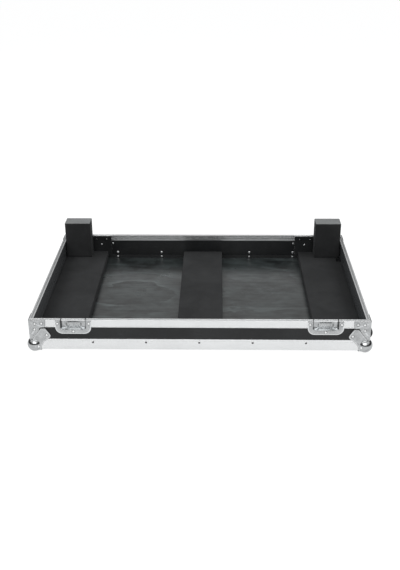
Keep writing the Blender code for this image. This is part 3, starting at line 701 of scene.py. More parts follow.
# Geometry Nodes
class Maker(Nodes):
    """A tree that takes a mesh, named numbers and a material."""

    def __init__(self, name, numbers):
        super().__init__(bpy.data.node_groups.new(name, "GeometryNodeTree"))
        sockets = self.tree.interface
        sockets.new_socket(name="Geometry", in_out="INPUT", socket_type="NodeSocketGeometry")
        for label, value in numbers.items():
            kind = "NodeSocketInt" if isinstance(value, int) else "NodeSocketFloat"
            sockets.new_socket(name=label, in_out="INPUT", socket_type=kind).default_value = value
        sockets.new_socket(name="Material", in_out="INPUT", socket_type="NodeSocketMaterial")
        sockets.new_socket(name="Geometry", in_out="OUTPUT", socket_type="NodeSocketGeometry")
        self.given = self.tree.nodes.new("NodeGroupInput").outputs

    def vector(self, **parts):
        return self.add("ShaderNodeCombineXYZ", parts)

    def end(self, geometry):
        real = self.add("GeometryNodeRealizeInstances", {"Geometry": geometry})
        coloured = self.add("GeometryNodeSetMaterial", {"Geometry": real, "Material": self.given["Material"]})
        self.close("NodeGroupOutput", coloured)
        return self.tree


def grown(name, mesh, tree, finish_name, **values):
    """A mesh run through a tree, as a plain mesh."""
    obj = object_of(name, mesh)
    step = obj.modifiers.new("nodes", "NODES")
    step.node_group = tree
    values["Material"] = finish(finish_name)
    for item in tree.interface.items_tree:
        if item.in_out == "INPUT" and item.name in values:
            step[item.identifier] = values[item.name]
    return baked(obj)


@cache
def extrusion_tree():
    """A closed section in the ground plane drawn out along Z and capped."""
    t = Maker("edge extrusion", {"Length": 1.0})
    start, end = (t.vector(Z=t.times(t.given["Length"], share)) for share in (-0.5, 0.5))
    rail = t.add("GeometryNodeCurvePrimitiveLine", {"Start": start, "End": end})
    section = t.add("GeometryNodeMeshToCurve", {"Mesh": t.given["Geometry"]})
    drawn = {"Curve": rail, "Profile Curve": section, "Fill Caps": True}
    return t.end(t.add("GeometryNodeCurveToMesh", drawn))


@cache
def rivet_tree():
    """A domed head with its pin on each point, turned to face the point's own way."""
    t = Maker("rivets", {"Head": 4 * MM, "Rise": 1.5 * MM, "Pin": 1.1 * MM})
    head, rise, pin = (t.given[name] for name in ("Head", "Rise", "Pin"))
    ball = t.add("GeometryNodeMeshUVSphere", {"Segments": 14, "Rings": 8, "Radius": 1.0})
    dome = t.add("GeometryNodeTransform", {"Geometry": ball, "Scale": t.vector(X=head, Y=head, Z=rise)})
    ball = t.add("GeometryNodeMeshUVSphere", {"Segments": 8, "Rings": 6, "Radius": 1.0})
    flat = t.vector(X=pin, Y=pin, Z=0.35 * MM)
    end = t.add("GeometryNodeTransform", {"Geometry": ball, "Translation": t.vector(Z=rise), "Scale": flat})
    end = t.add(
        "GeometryNodeStoreNamedAttribute",
        {"Geometry": end, "Name": "pin", "Value": 1.0},
        data_type="FLOAT",
        domain="POINT",
    )
    joined = t.tree.nodes.new("GeometryNodeJoinGeometry")
    for part in (end, dome):
        t.tree.links.new(part, joined.inputs[0])
    facing = t.add("GeometryNodeInputNamedAttribute", {"Name": "facing"}, data_type="FLOAT_VECTOR")
    turn = t.add("FunctionNodeAlignRotationToVector", {"Vector": facing}, axis="Z")
    placed = {"Points": t.given["Geometry"], "Instance": joined.outputs[0], "Rotation": turn}
    return t.end(t.add("GeometryNodeInstanceOnPoints", placed))


def knuckle_tree():
    """Hinge knuckles along X, every other place left for the other leaf."""
    t = Maker("hinge knuckles", {"Count": 10, "Step": 25 * MM, "Radius": 3 * MM, "Width": 12 * MM})
    step = t.vector(X=t.given["Step"])
    line = t.add("GeometryNodeMeshLine", {"Count": t.given["Count"], "Offset": step})
    sizes = {"Vertices": 20, "Radius": t.given["Radius"], "Depth": t.given["Width"]}
    barrel = t.add("GeometryNodeMeshCylinder", sizes)
    lying = t.add("GeometryNodeTransform", {"Geometry": barrel, "Rotation": (0, math.radians(90), 0)})
    return t.end(t.add("GeometryNodeInstanceOnPoints", {"Points": line, "Instance": lying}))


def rivets(name, places, body, size=1.0, pin=1.1 * MM, replaced=()):
    """Rivets at points, each given with the way that it faces."""
    sizes = bpy.context.scene.tray_sizes
    points = mesh_of(name, [place for place, _ in places])
    facing = points.attributes.new("facing", "FLOAT_VECTOR", "POINT")
    facing.data.foreach_set("vector", [c for _, way in places for c in way])
    head, rise = sizes.rivet_head * size, sizes.rivet_rise * size
    mesh = grown(name, points, rivet_tree(), "rivet", Head=head, Rise=rise, Pin=pin)
    return piece(name, smooth(cleaned(mesh, 1e-7), 60), "rivet", replaced, body)


# Edge extrusions
def with_painted_shade(mesh, channel_shade=0.35, lip_shade=0.0):
    """The rim's mesh with painted shade marked along its channel and inner grooves, and on its lips."""
    inner_y = FLAP_RIM[0].y + GROOVE
    values = []
    for v in mesh.vertices:
        channel = abs(v.co.z - RIM_TOP + CHANNEL) < 0.3 * MM
        inner = inner_y - 0.2 * MM < v.co.y < inner_y + 0.2 * MM
        groove = inner and any(abs(v.co.z - line) < 1.2 * MM for line in GROOVE_LINES)
        lip = v.co.z > RIM_TOP - 0.5 * MM
        values.append(channel_shade if channel else 0.5 if groove else lip_shade if lip else 0)
    return marked(mesh, "grime", values)


def rim_section(inner_leg=0.0):
    """Section of the rim: a beaded outer leg and two lips with the lid's channel between."""
    bead = 0.35 * MM
    outer_lip = RIM_TOP - 0.4 * MM
    channel = RIM_TOP - CHANNEL
    under = RIM_TOP - RIDGE - METAL
    points = [
        (-bead, RIM_BOTTOM, 0.4 * MM),
        (-bead, RIM_BOTTOM + 2.2 * MM, 0.5 * MM),
        (0, RIM_BOTTOM + 2.8 * MM, 0),
        (0, RIM_BOTTOM + 3.2 * MM, 0),
        (0, outer_lip - 1.5 * MM, 0),
        (0, outer_lip, 0.9 * MM),
        (4.4 * MM, outer_lip, 0.6 * MM),
        (4.8 * MM, channel, 0),
        (7.8 * MM, channel, 0),
        (8.2 * MM, RIM_TOP, 0.6 * MM),
        (RIM_DEPTH, RIM_TOP, 0.7 * MM),
    ]
    if inner_leg:
        cut = RIM_DEPTH - GROOVE
        for line in GROOVE_LINES:
            points += [
                (RIM_DEPTH, line + 1.3 * MM, 0.3 * MM),
                (cut, line + 1.0 * MM, 0),
                (cut, line - 1.0 * MM, 0),
                (RIM_DEPTH, line - 1.3 * MM, 0.3 * MM),
            ]
        points += [
            (RIM_DEPTH, RIM_TOP - inner_leg, 0.5 * MM),
            (RIM_DEPTH - METAL, RIM_TOP - inner_leg, 0),
            (RIM_DEPTH - METAL, under, 0),
        ]
    else:
        points += [(RIM_DEPTH, under, 0)]
    return rounded([*points, (METAL, under, 0), (METAL, RIM_BOTTOM, 0)], 3)


def base_section():
    """Section of the base edge: two legs with a rounded corner, a lip line and a faint line below it."""
    lip = BASE_Z + BASE_LEG - 6.5 * MM
    low = BASE_Z + 4.8 * MM
    points = [
        (0, BASE_Z, 1.2 * MM),
        (0, low - 0.6 * MM, 0),
        (0.25 * MM, low - 0.4 * MM, 0),
        (0.25 * MM, low + 0.4 * MM, 0),
        (0, low + 0.6 * MM, 0),
        (0, lip - 0.7 * MM, 0.2 * MM),
        (0.4 * MM, lip - 0.5 * MM, 0),
        (0.4 * MM, lip + 0.5 * MM, 0),
        (0, lip + 0.7 * MM, 0.2 * MM),
        (0, BASE_Z + BASE_LEG, 0.6 * MM),
        (METAL, BASE_Z + BASE_LEG, 0),
        (METAL, BASE_Z + METAL, 0),
        (BASE_LEG, BASE_Z + METAL, 0),
        (BASE_LEG, BASE_Z, 0.6 * MM),
    ]
    return rounded(points, 3)


def drawn_out(name, section, axis, outer, low, high):
    """A section of (inward, up) points run along x or y between two values, with its outer face at outer."""
    inward = -1 if outer > 0 else 1
    count = len(section)
    ring = [(i, (i + 1) % count) for i in range(count)]
    mesh = mesh_of(name, [(outer + inward * p.x, p.y, 0) for p in section], edges=ring)
    made = grown(name, mesh, extrusion_tree(), f"aluminium_{axis}", Length=abs(high - low))
    middle = (low + high) / 2
    turn = {
        "x": Matrix(((0, 0, 1, middle), (1, 0, 0, 0), (0, 1, 0, 0), (0, 0, 0, 1))),
        "y": Matrix(((1, 0, 0, 0), (0, 0, 1, middle), (0, 1, 0, 0), (0, 0, 0, 1))),
    }[axis]
    made.transform(Matrix.Translation((CENTRE_X, CENTRE_Y, 0)) @ turn)
    return cleaned(made)


def housing_rooms(inset, past, top=None):
    """Room for the wheel housings within their lips."""
    rooms = []
    for _, row in ROWS:
        low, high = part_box(f"wheel_housing_{row}")
        up = top or high.z - HOUSING_LIP + GAP
        rooms.append((Vector((low.x - GAP, low.y + inset, 0)), Vector((high.x + past, high.y - inset, up))))
    return rooms


class TRAY_OT_rims(bpy.types.Operator):
    """Rim extrusions round the top edge, with their cuts for the latches"""

    bl_idname = "tray.rims"
    bl_label = "Rims"

    def execute(self, context):
        section = rim_section()
        half, slit = PAN_WIDTH / 2 + 0.2 * MM, NOTCH / 2
        rooms = []
        for side in (-1, 1):
            low = at(side * DISH_X - half, -HALF_DEPTH - 5 * MM, RIM_TOP - PAN_HEIGHT)
            rooms.append((low, at(side * DISH_X + half, -HALF_DEPTH + 3.4 * MM, RIM_TOP + RIDGE)))
        for side in (-1, 1):
            for edge in (-1, 1):
                x = side * DISH_X + edge * (PAN_WIDTH / 2 - slit)
                low = at(x - slit, -HALF_DEPTH - RIDGE, RIM_BOTTOM)
                rooms.append((low, at(x + slit, -HALF_DEPTH + 2 * RIM_DEPTH, RIM_TOP + RIDGE)))
        front = drawn_out("front_rim", section, "x", -HALF_DEPTH, -HALF_LENGTH, HALF_LENGTH)
        front = smooth(carved(front, rooms))
        # Painted shade, faint, along the front rim's channel.
        piece("rim_front", with_painted_shade(front, 0.1), "aluminium_x", ["front_rim"])
        run = SIDE_RIM[1].y - CENTRE_Y
        start = REAR_RIM[0].x - CENTRE_X
        for side, where in SIDES:
            mesh = drawn_out(f"rim_{where}", section, "y", side * HALF_LENGTH, -run, run)
            # Painted shade along the channels of the side and rear rims.
            piece(f"rim_{where}", with_painted_shade(smooth(mesh)), "aluminium_y", [f"{where}_rim"])
            ends = sorted((side * start, side * HALF_LENGTH))
            mesh = drawn_out(f"rim_rear_{where}", section, "x", HALF_DEPTH, *ends)
            piece(f"rim_rear_{where}", with_painted_shade(smooth(mesh)), "aluminium_x", [f"rear_rim_{where}"])
        mesh = smooth(drawn_out("rim_flap", rim_section(FLAP_LEG), "x", HALF_DEPTH, -FLAP_HALF, FLAP_HALF))
        # Painted shade along the flap rim's channel and grooves, and on its lips.
        piece("rim_flap", with_painted_shade(mesh, 0.5, 0.35), "aluminium_x", ["flap_rim"], "flap")
        return {"FINISHED"}


class TRAY_OT_base_edges(bpy.types.Operator):
    """Base edge extrusions and the upright corner angles"""

    bl_idname = "tray.base_edges"
    bl_label = "Base Edges"

    def execute(self, context):
        section = base_section()
        front = drawn_out("base_front", section, "x", -HALF_DEPTH, -HALF_LENGTH, HALF_LENGTH)
        piece("base_edge_front", smooth(front), "aluminium_x", ["base_angle_front"])
        rear = drawn_out("base_rear", section, "x", HALF_DEPTH, -HALF_LENGTH, HALF_LENGTH)
        reach = FLAP_HALF + 1 * MM
        low = at(-reach, HALF_DEPTH - METAL - GAP, HINGE_LEAF[0].z - GAP)
        rear = carved(rear, [(low, at(reach, HALF_DEPTH + METAL, RIM_BOTTOM))])
        piece("base_edge_rear", smooth(rear), "aluminium_x", ["base_angle_rear"])
        rooms = []
        for end in (-1, 1):
            near, far = sorted((end * (HALF_DEPTH - BASE_LEG - GAP), end * 2 * HALF_DEPTH))
            rooms.append((at(-2 * HALF_LENGTH, near, 0), at(2 * HALF_LENGTH, far, BASE_Z + METAL + GAP)))
        run = HALF_DEPTH - METAL - GAP
        for side, where in SIDES:
            mesh = drawn_out(f"base_{where}", section, "y", side * HALF_LENGTH, -run, run)
            wheels = housing_rooms(HOUSING_LIP - GAP, METAL) if side > 0 else []
            mesh = smooth(carved(mesh, rooms + wheels))
            piece(f"base_edge_{where}", mesh, "aluminium_y", [f"base_angle_{where}"])
        for _, row in ROWS:
            for _, where in SIDES:
                softened(f"corner_angle_{row}_{where}", "aluminium_z", 0.6 * MM)
        return {"FINISHED"}


# Pressed corners
def corner_point(side, end, a, b, h):
    """A point by its distances inwards from a corner of the case and its height over the base."""
    return at(side * (HALF_LENGTH - a), end * (HALF_DEPTH - b), BASE_Z + h)


def bent_round(u, h, out, radius, side, end):
    """A point of a plate bent round an upright corner; u is from the bend's middle, out is off the plate."""
    quarter = radius * math.pi / 4
    if abs(u) <= quarter:
        angle = math.pi / 4 + u / radius
        reach = radius + out
        a = radius - STAND - reach * math.cos(angle)
        b = radius - STAND - reach * math.sin(angle)
        return corner_point(side, end, a, b, h)
    along = abs(u) - quarter + radius - STAND
    a, b = (along, -STAND - out) if u > 0 else (-STAND - out, along)
    return corner_point(side, end, a, b, h)


def bend_u(s, radius):
    """Where a distance along a face from the case's corner lies on the unrolled plate."""
    return s + STAND - radius + radius * math.pi / 4


def rib(points, start, end, width):
    """1 on a line and 0 a width away from it."""
    p, (a, b) = array_of(points), array_of((start, end))
    along = np.clip(((p - a) @ (b - a)) / ((b - a) @ (b - a)), 0, 1)
    away = np.sqrt(((p - a - along[:, None] * (b - a)) ** 2).sum(-1))
    return 1 - ease(away, width * 0.25, width)


def ringed(points, places):
    """1 in a thin ring round the head of each rivet, given in millimetres, and 0 elsewhere; it places the
    painted shadow round rivets.
    """
    reach = 4.6 * MM
    p = array_of(points)
    made = np.zeros(len(p))
    for place in places:
        away = np.sqrt(((p - np.array(place) * MM) ** 2).sum(-1))
        made = np.maximum(made, 1 - ease(away, reach, reach + 1.6 * MM))
    return made


class TRAY_OT_corner_braces(bpy.types.Operator):
    """Pressed braces bent round the four upright corners"""

    bl_idname = "tray.corner_braces"
    bl_label = "Corner Braces"

    def execute(self, context):
        sizes = context.scene.tray_sizes
        radius = 3.2 * MM
        cell = 1.4 * MM
        top = RIM_TOP - 1.2 * MM - BASE_Z
        reach = bend_u(BRACE_REACH, radius)
        half = [
            (reach, top, 3 * MM),
            (reach - 1.5 * MM, RIM_BOTTOM - BASE_Z, 4 * MM),
            (bend_u(34.5 * MM, radius), 77.2 * MM, 3 * MM),
            (bend_u(3 * MM, radius), 36.3 * MM, 2 * MM),
        ]
        outline = rounded(mirrored(half))
        flat, faces = filled(outline, cell)
        across, up = array_of(flat).T
        depth = depth_inside(flat, spaced(outline, cell))
        inward = np.minimum(depth + 3 * MM * (up > top - 3 * MM), reach - np.abs(across))
        rise = sizes.crown * ease(inward, 0, 2.6 * MM)
        # Painted light along the pressed ribs.
        worn = np.zeros(len(flat))
        for sign in (-1, 1):
            ribs = rib(flat, (sign * reach * 0.86, top - 22 * MM), (sign * 9 * MM, top - 8 * MM), 3 * MM)
            ribs = np.maximum(ribs, rib(flat, (sign * 22 * MM, 74 * MM), (sign * 9 * MM, 56 * MM), 3.5 * MM))
            rise += 0.6 * MM * ribs
            worn = np.maximum(worn, 0.7 * ribs)
        # Painted shade along the brace's outline below its top, and in a ring round each rivet.
        below = 1 - ease(up, top - 6 * MM, top - 3 * MM)
        grime = 0.55 * (1 - ease(depth, 0.2 * MM, 1.2 * MM)) * below
        spots = [(sign * bend_u(s * MM, radius) / MM, h) for s, h in BRACE_RIVETS for sign in (-1, 1)]
        grime = np.maximum(grime, 0.55 * ringed(flat, spots))
        rise -= 0.6 * sizes.crown
        for side, end, corner in CORNERS:
            points = [bent_round(p.x, p.y, out, radius, side, end) for p, out in zip(flat, rise)]
            name = f"corner_brace_{corner}"
            mesh = marked(marked(mesh_of(name, points, faces), "grime", grime), "worn", worn)
            inside = corner_point(side, end, 60 * MM, 60 * MM, 70 * MM)
            piece(f"brace_{corner}", pressed(mesh, inside, sizes.sheet * 0.7), "plated", [name])
        return {"FINISHED"}


def ball_face():
    """Outline of the ball corner on an upright face, from the corner outwards."""
    edge = -STAND
    tip = LOBE_REACH + 2.5 * MM
    return rounded(
        [
            (edge, edge, 0),
            (31 * MM, edge, 2 * MM),
            (33.5 * MM, 12 * MM, 10 * MM),
            (43.5 * MM, 27 * MM, 4 * MM),
            (52 * MM, 34.5 * MM, 4 * MM),
            (tip - 3.5 * MM, 41 * MM, 3 * MM),
            (tip, 48.5 * MM, 3 * MM),
            (tip - 3 * MM, 56 * MM, 3 * MM),
            (49.5 * MM, LOBE_TOP, 4 * MM),
            (35.6 * MM, LOBE_TOP, 2.5 * MM),
            (edge, 27.5 * MM, 0),
        ]
    )


def ball_sole():
    """Outline of the ball corner under the case."""
    edge = -STAND
    return rounded(
        [
            (edge, edge, 0),
            (33 * MM, edge, 4 * MM),
            (44 * MM, 33 * MM, 9 * MM),
            (33 * MM, 44 * MM, 9 * MM),
            (edge, 33 * MM, 4 * MM),
        ]
    )


def on_ball(place):
    """A place on the pressed corner moved onto the ball where it is near, and left elsewhere."""
    arm = place - BALL_MIDDLE
    d = arm.length
    blend = min(max(0.5 + 0.5 * (d - BALL_RADIUS) / BALL_BLEND, 0), 1)
    soft = BALL_RADIUS * (1 - blend) + d * blend + BALL_BLEND * blend * (1 - blend)
    octant = float(ease(-max(arm.x, arm.y, arm.z) / BALL_INSET, -0.45, 0.35))
    return BALL_MIDDLE + arm.normalized() * (soft * (1 - octant) + BALL_RADIUS * octant)


class TRAY_OT_ball_corners(bpy.types.Operator):
    """Pressed ball corners: three lobes that run into a ball round each bottom corner"""

    bl_idname = "tray.ball_corners"
    bl_label = "Ball Corners"

    def execute(self, context):
        sizes = context.scene.tray_sizes
        cell = 1.6 * MM
        face, sole = ball_face(), ball_sole()
        upright, under = filled(face, cell), filled(sole, cell)
        lobes = (
            (face, *upright, lambda p: (p.x, -STAND, p.y), (0, -1, 0)),
            (face, *upright, lambda p: (-STAND, p.x, p.y), (-1, 0, 0)),
            (sole, *under, lambda p: (p.x, p.y, -STAND), (0, 0, -1)),
        )
        local, faces, grime, worn = [], [], [], []
        for outline, flat, flat_faces, placed, normal in lobes:
            free = [p for p in spaced(outline, cell) if min(p.x, p.y) > -STAND + 0.1 * MM]
            away = np.array([min((p - q).length for q in free) for p in flat])
            lift = sizes.crown * (1.5 * ease(away, 0, 2.4 * MM) - 0.5 * ease(away, 3.5 * MM, 6 * MM) - 0.6)
            # Painted shade along each lobe's outline and round its rivet; painted light on a band just inside
            # the outline.
            edge = 0.55 * (1 - ease(away, 0.2 * MM, 1.2 * MM))
            grime.extend(np.maximum(edge, 0.5 * ringed(flat, LOBE_RIVETS)))
            worn.extend(0.75 * ease(away, 0.8 * MM, 1.8 * MM) * (1 - ease(away, 2.4 * MM, 4.2 * MM)))
            faces += [tuple(len(local) + i for i in f) for f in flat_faces]
            for p, out in zip(flat, lift):
                inner = min(max((min(p.x, p.y) + STAND) / (2 * cell), 0), 1)
                local.append(Vector(placed(p)) + Vector(normal) * out * inner)
        shell = marked(marked(mesh_of("ball corner", local, faces), "grime", grime), "worn", worn)
        with edited(shell) as shape:
            bmesh.ops.remove_doubles(shape, verts=shape.verts, dist=0.05 * MM)
            inner = [v for v in shape.verts if not v.is_boundary]
            axes = {f"use_axis_{axis}": True for axis in "xyz"}
            for _ in range(5):
                bmesh.ops.smooth_vert(shape, verts=inner, factor=0.5, **axes)
            for v in shape.verts:
                v.co = on_ball(v.co)
        off_ball = [(v.co - BALL_MIDDLE).length - BALL_RADIUS for v in shell.vertices]
        marked(shell, "polished", 1 - ease(off_ball, 0.3 * MM, 3 * MM))
        for side, end, corner in CORNERS:
            name = f"ball_corner_{corner}"
            mesh = shell.copy()
            for v in mesh.vertices:
                v.co = corner_point(side, end, *v.co)
                v.co.z = max(v.co.z, 0.1 * MM)
            inside = corner_point(side, end, 70 * MM, 70 * MM, 70 * MM)
            piece(f"{name}_pressed", pressed(mesh, inside, sizes.sheet * 0.8), "plated", [name])
        bpy.data.meshes.remove(shell)
        return {"FINISHED"}


class TRAY_OT_latches(bpy.types.Operator):
    """Half latch dishes let into the front rim, with their strikes"""

    bl_idname = "tray.latches"
    bl_label = "Latches"

    def execute(self, context):
        sizes = context.scene.tray_sizes
        cell = 1.8 * MM
        top, bottom = DISH[1].z, DISH[0].z
        pan_bottom = RIM_TOP - PAN_HEIGHT
        half = PAN_WIDTH / 2
        outline = rounded(mirrored([(-DISH_HALF, top, 2 * MM), (-DISH_HALF, bottom, 22 * MM)]), 8)
        pan = rounded(mirrored([(-half, top + 30 * MM, 0), (-half, pan_bottom, PAN_CORNER)]), 6)
        lines = []
        for inset in (0.2 * MM, 2.4 * MM):
            start = (-half + inset, top - 0.6 * MM, 0)
            turn = (-half + inset, pan_bottom + inset, PAN_CORNER - inset)
            lines.append(rounded(mirrored([start, turn]), 6))
        flat, faces = filled(outline, cell, lines)
        across, up = array_of(flat).T
        out = np.abs(across)
        sunk = depth_inside(flat, pan)
        edge = depth_inside(flat, spaced(outline, cell))
        inward = np.minimum(edge + (up > top - 4 * MM) * 5 * MM, np.minimum(DISH_HALF - out, up - bottom))
        rise = 0.7 * MM * ease(inward, 0, 2.4 * MM)
        rise -= 0.4 * MM * ease(-sunk, 0, 2 * MM) * (1 - ease(-sunk, 2 * MM, 4 * MM))
        floor = PAN_DEPTH - GAP
        depth = floor * ease(sunk, 0.1 * MM, 2.5 * MM)
        panel = np.maximum(out - 26 * MM, np.abs(up - (pan_bottom + 15 * MM)) - 8.5 * MM)
        emboss = 0.8 * MM * (1 - ease(panel, 0, 2 * MM))
        back = -HALF_DEPTH - STAND - rise * (depth == 0) + depth - emboss * (depth > floor * 0.9)

        # Painted light along the flange's edge and on the pan's lower wall.
        worn = 0.9 * (1 - ease(edge, 1.8 * MM, 4.0 * MM)) * (up < top - 3 * MM)
        worn = np.maximum(worn, 0.45 * (up < pan_bottom + 9 * MM) * (sunk > 0))
        # Painted shade in the notches beside the pan, by the strike's sides and round the rivets.
        strike_side = (STRIKE[1].x - STRIKE[0].x) / 2 + 0.8 * MM
        strike_up = STRIKE[0].z + 9 * MM
        beside = (out > half - NOTCH) & (out < half + 0.5 * MM) & (up > pan_bottom + 5 * MM)
        by_strike = (np.abs(out - strike_side) < 1.5 * MM) & (np.abs(up - strike_up) < 6 * MM)
        rings = ringed(flat, [(x, BASE_Z / MM + h) for x, h in DISH_RIVETS])
        grime = np.maximum.reduce([0.75 * beside, 0.8 * by_strike, 0.5 * rings])
        for side, where in SIDES:
            points = [at(side * DISH_X + p.x, y, p.y) for p, y in zip(flat, back)]
            mesh = marked(marked(mesh_of("dish", points, faces), "grime", grime), "worn", worn)
            mesh = pressed(mesh, at(side * DISH_X, 0, pan_bottom), sizes.sheet * 0.8)
            piece(f"dish_{where}", mesh, "plated", [f"latch_dish_{where}"])
            softened(f"latch_strike_{where}", "plated", 0.6 * MM, 3)
        return {"FINISHED"}


class TRAY_OT_hinge(bpy.types.Operator):
    """Continuous hinge of the rear flap"""

    bl_idname = "tray.hinge"
    bl_label = "Hinge"

    def execute(self, context):
        count = context.scene.tray_sizes.knuckles
        half = (HINGE_PIN[1].x - HINGE_PIN[0].x) / 2
        pitch = half / count
        radius = HINGE_LEAF[1].y - CENTRE_Y - HINGE_Y
        thickness = 1.2 * MM
        tree = knuckle_tree()
        for up, body, node in ((-1, "tray", "hinge_fixed_leaf"), (1, "flap", "hinge_flap_leaf")):
            low, high = sorted((HINGE_Z + up * 2.05 * MM, HINGE_Z + up * (HINGE_Z - HINGE_LEAF[0].z)))
            inner = HINGE_Y - radius
            leaf = box_mesh("leaf", at(-half, inner, low), at(half, inner + thickness, high))
            piece(f"hinge_leaf_{body}", smooth(bevelled(leaf, 0.35 * MM)), "plated", [node], body)
            name = f"hinge_knuckles_{body}"
            sizes = {"Count": count, "Step": 2 * pitch, "Radius": radius, "Width": pitch - 0.35 * MM}
            barrels = grown(name, bpy.data.meshes.new("start"), tree, "plated", **sizes)
            start = -half + pitch / 2 + (pitch if up > 0 else 0)
            barrels.transform(Matrix.Translation(at(start, HINGE_Y, HINGE_Z)))
            barrels = smooth(bevelled(cleaned(barrels), 0.3 * MM, 2, 50))
            piece(name, barrels, "plated", body=body)
        dressed(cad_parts["hinge_pin"].data, "aluminium_x")
        return {"FINISHED"}


class TRAY_OT_flap_bolts(bpy.types.Operator):
    """Slide bolts at the ends of the flap and their keepers"""

    bl_idname = "tray.flap_bolts"
    bl_label = "Flap Bolts"

    def execute(self, context):
        for _, where in SIDES:
            softened(f"flap_bolt_plate_{where}", "plated", 0.5 * MM)
            softened(f"flap_keeper_{where}", "plated", 0.4 * MM, body="flap")
            softened(f"flap_bolt_{where}", "plated", 0.6 * MM, 3, f"{where}_bolt")
        return {"FINISHED"}


def lathed(name, profile, centre, sides=64):
    """A closed profile of (radius, along) points turned round an axis along Y."""
    points, faces = [], []
    count = len(profile)
    for i in range(sides):
        angle = 2 * math.pi * i / sides
        for radius, along in profile:
            points.append(centre + Vector((radius * math.cos(angle), along, radius * math.sin(angle))))
        here, there = i * count, (i + 1) % sides * count
        for k in range(count):
            n = (k + 1) % count
            faces.append((here + k, here + n, there + n, there + k))
    return cleaned(mesh_of(name, points, faces))


class TRAY_OT_wheels(bpy.types.Operator):
    """Tilt wheels, their axles and the housings let into the right-hand end"""

    bl_idname = "tray.wheels"
    bl_label = "Wheels"

    def execute(self, context):
        radius = (WHEEL[1].z - WHEEL[0].z) / 2
        half = (WHEEL[1].y - WHEEL[0].y) / 2 - 1 * MM
        tread = [
            (radius - 8 * MM, -half, 0.5 * MM),
            (radius - 3.5 * MM, -half, 2 * MM),
            (radius, -half + 5 * MM, 5 * MM),
        ]
        hub = [
            (4.3 * MM, -half - 0.8 * MM, 0.3 * MM),
            (8 * MM, -half - 0.8 * MM, 0.8 * MM),
            (8.6 * MM, -half + 2.6 * MM, 1 * MM),
            (radius - 9.5 * MM, -half + 2.6 * MM, 0),
            (radius - 7.9 * MM, -half + 0.4 * MM, 0.4 * MM),
        ]
        tread, hub = rounded(mirrored(tread, 1, -1), 4), rounded(mirrored(hub, 1, -1), 3)
        for _, row in ROWS:
            low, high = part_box(f"wheel_{row}")
            centre = (low + high) / 2
            tyre = smooth(lathed("tyre", tread, centre), 45)
            piece(f"tyre_{row}", tyre, "tyre", [f"wheel_{row}"], f"{row}_wheel")
            core = smooth(lathed("hub", hub, centre, 48), 35)
            piece(f"hub_{row}", core, "tyre", body=f"{row}_wheel")
            softened(f"wheel_housing_{row}", "painted", 0.4 * MM)
            softened(f"wheel_axle_{row}", "aluminium_y", 0.5 * MM)
        return {"FINISHED"}


def soft_box(name, low, high, radius, cell, wave, seed):
    """A block with rounded edges on a fine grid, with faint unevenness from its cutting."""
    steps = (0, 0.12, 0.3, 0.6)
    axes = []
    for k in range(3):
        count = max(2, round((high[k] - low[k]) / cell))
        start = [low[k] + radius * s for s in steps]
        end = [high[k] - radius * s for s in reversed(steps)]
        axes.append([*start, *np.linspace(low[k] + radius, high[k] - radius, count), *end])
    index, points, faces = {}, [], []

    def corner(key):
        if key not in index:
            p = Vector([axis[i] for axis, i in zip(axes, key)])
            core = Vector([min(max(p[n], low[n] + radius), high[n] - radius) for n in range(3)])
            drift = noise.noise(p * 14 + Vector((seed, 0, 0)))
            drift += 0.5 * noise.noise(p * 60 + Vector((0, seed, 0)))
            points.append(core + (p - core).normalized() * (radius + wave * (drift - 0.6)))
            index[key] = len(points) - 1
        return index[key]

    last = [len(axis) - 1 for axis in axes]
    for a, b, c in ((0, 1, 2), (1, 2, 0), (2, 0, 1)):
        for i in range(last[a]):
            for j in range(last[b]):
                for k in (0, last[c]):
                    quad = []
                    for di, dj in ((0, 0), (1, 0), (1, 1), (0, 1)):
                        key = [0, 0, 0]
                        key[a], key[b], key[c] = i + di, j + dj, k
                        quad.append(corner(tuple(key)))
                    faces.append(quad if k else quad[::-1])
    return cleaned(mesh_of(name, points, faces))


class TRAY_OT_foam(bpy.types.Operator):
    """Foam strips along the floor and the tall blocks in the rear corners"""

    bl_idname = "tray.foam"
    bl_label = "Foam"

    def execute(self, context):
        sizes = context.scene.tray_sizes
        for seed, where in enumerate(("left", "centre", "right")):
            low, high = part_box(f"foam_strip_{where}")
            mesh = soft_box("strip", low, high, sizes.strip_edge, 9 * MM, 0.12 * MM, seed)
            if where == "right":
                mesh = carved(mesh, housing_rooms(HOUSING_LIP - 2 * GAP, 0, RIM_TOP))
            made = piece(f"strip_{where}", smooth(mesh, 60), "foam", [f"foam_strip_{where}"])
        for seed, where in enumerate(("left", "right"), 5):
            low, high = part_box(f"foam_block_{where}")
            mesh = soft_box("block", low, high, sizes.block_edge, 7 * MM, 0.25 * MM, seed)
            # The block tops take a paler colour.
            pale_top = [ease(v.co.z, high.z - sizes.block_edge, high.z - 0.3 * MM) for v in mesh.vertices]
            mesh = smooth(marked(mesh, "cut", pale_top), 60)
            piece(f"block_{where}", mesh, "foam", [f"foam_block_{where}"])
        return {"FINISHED"}


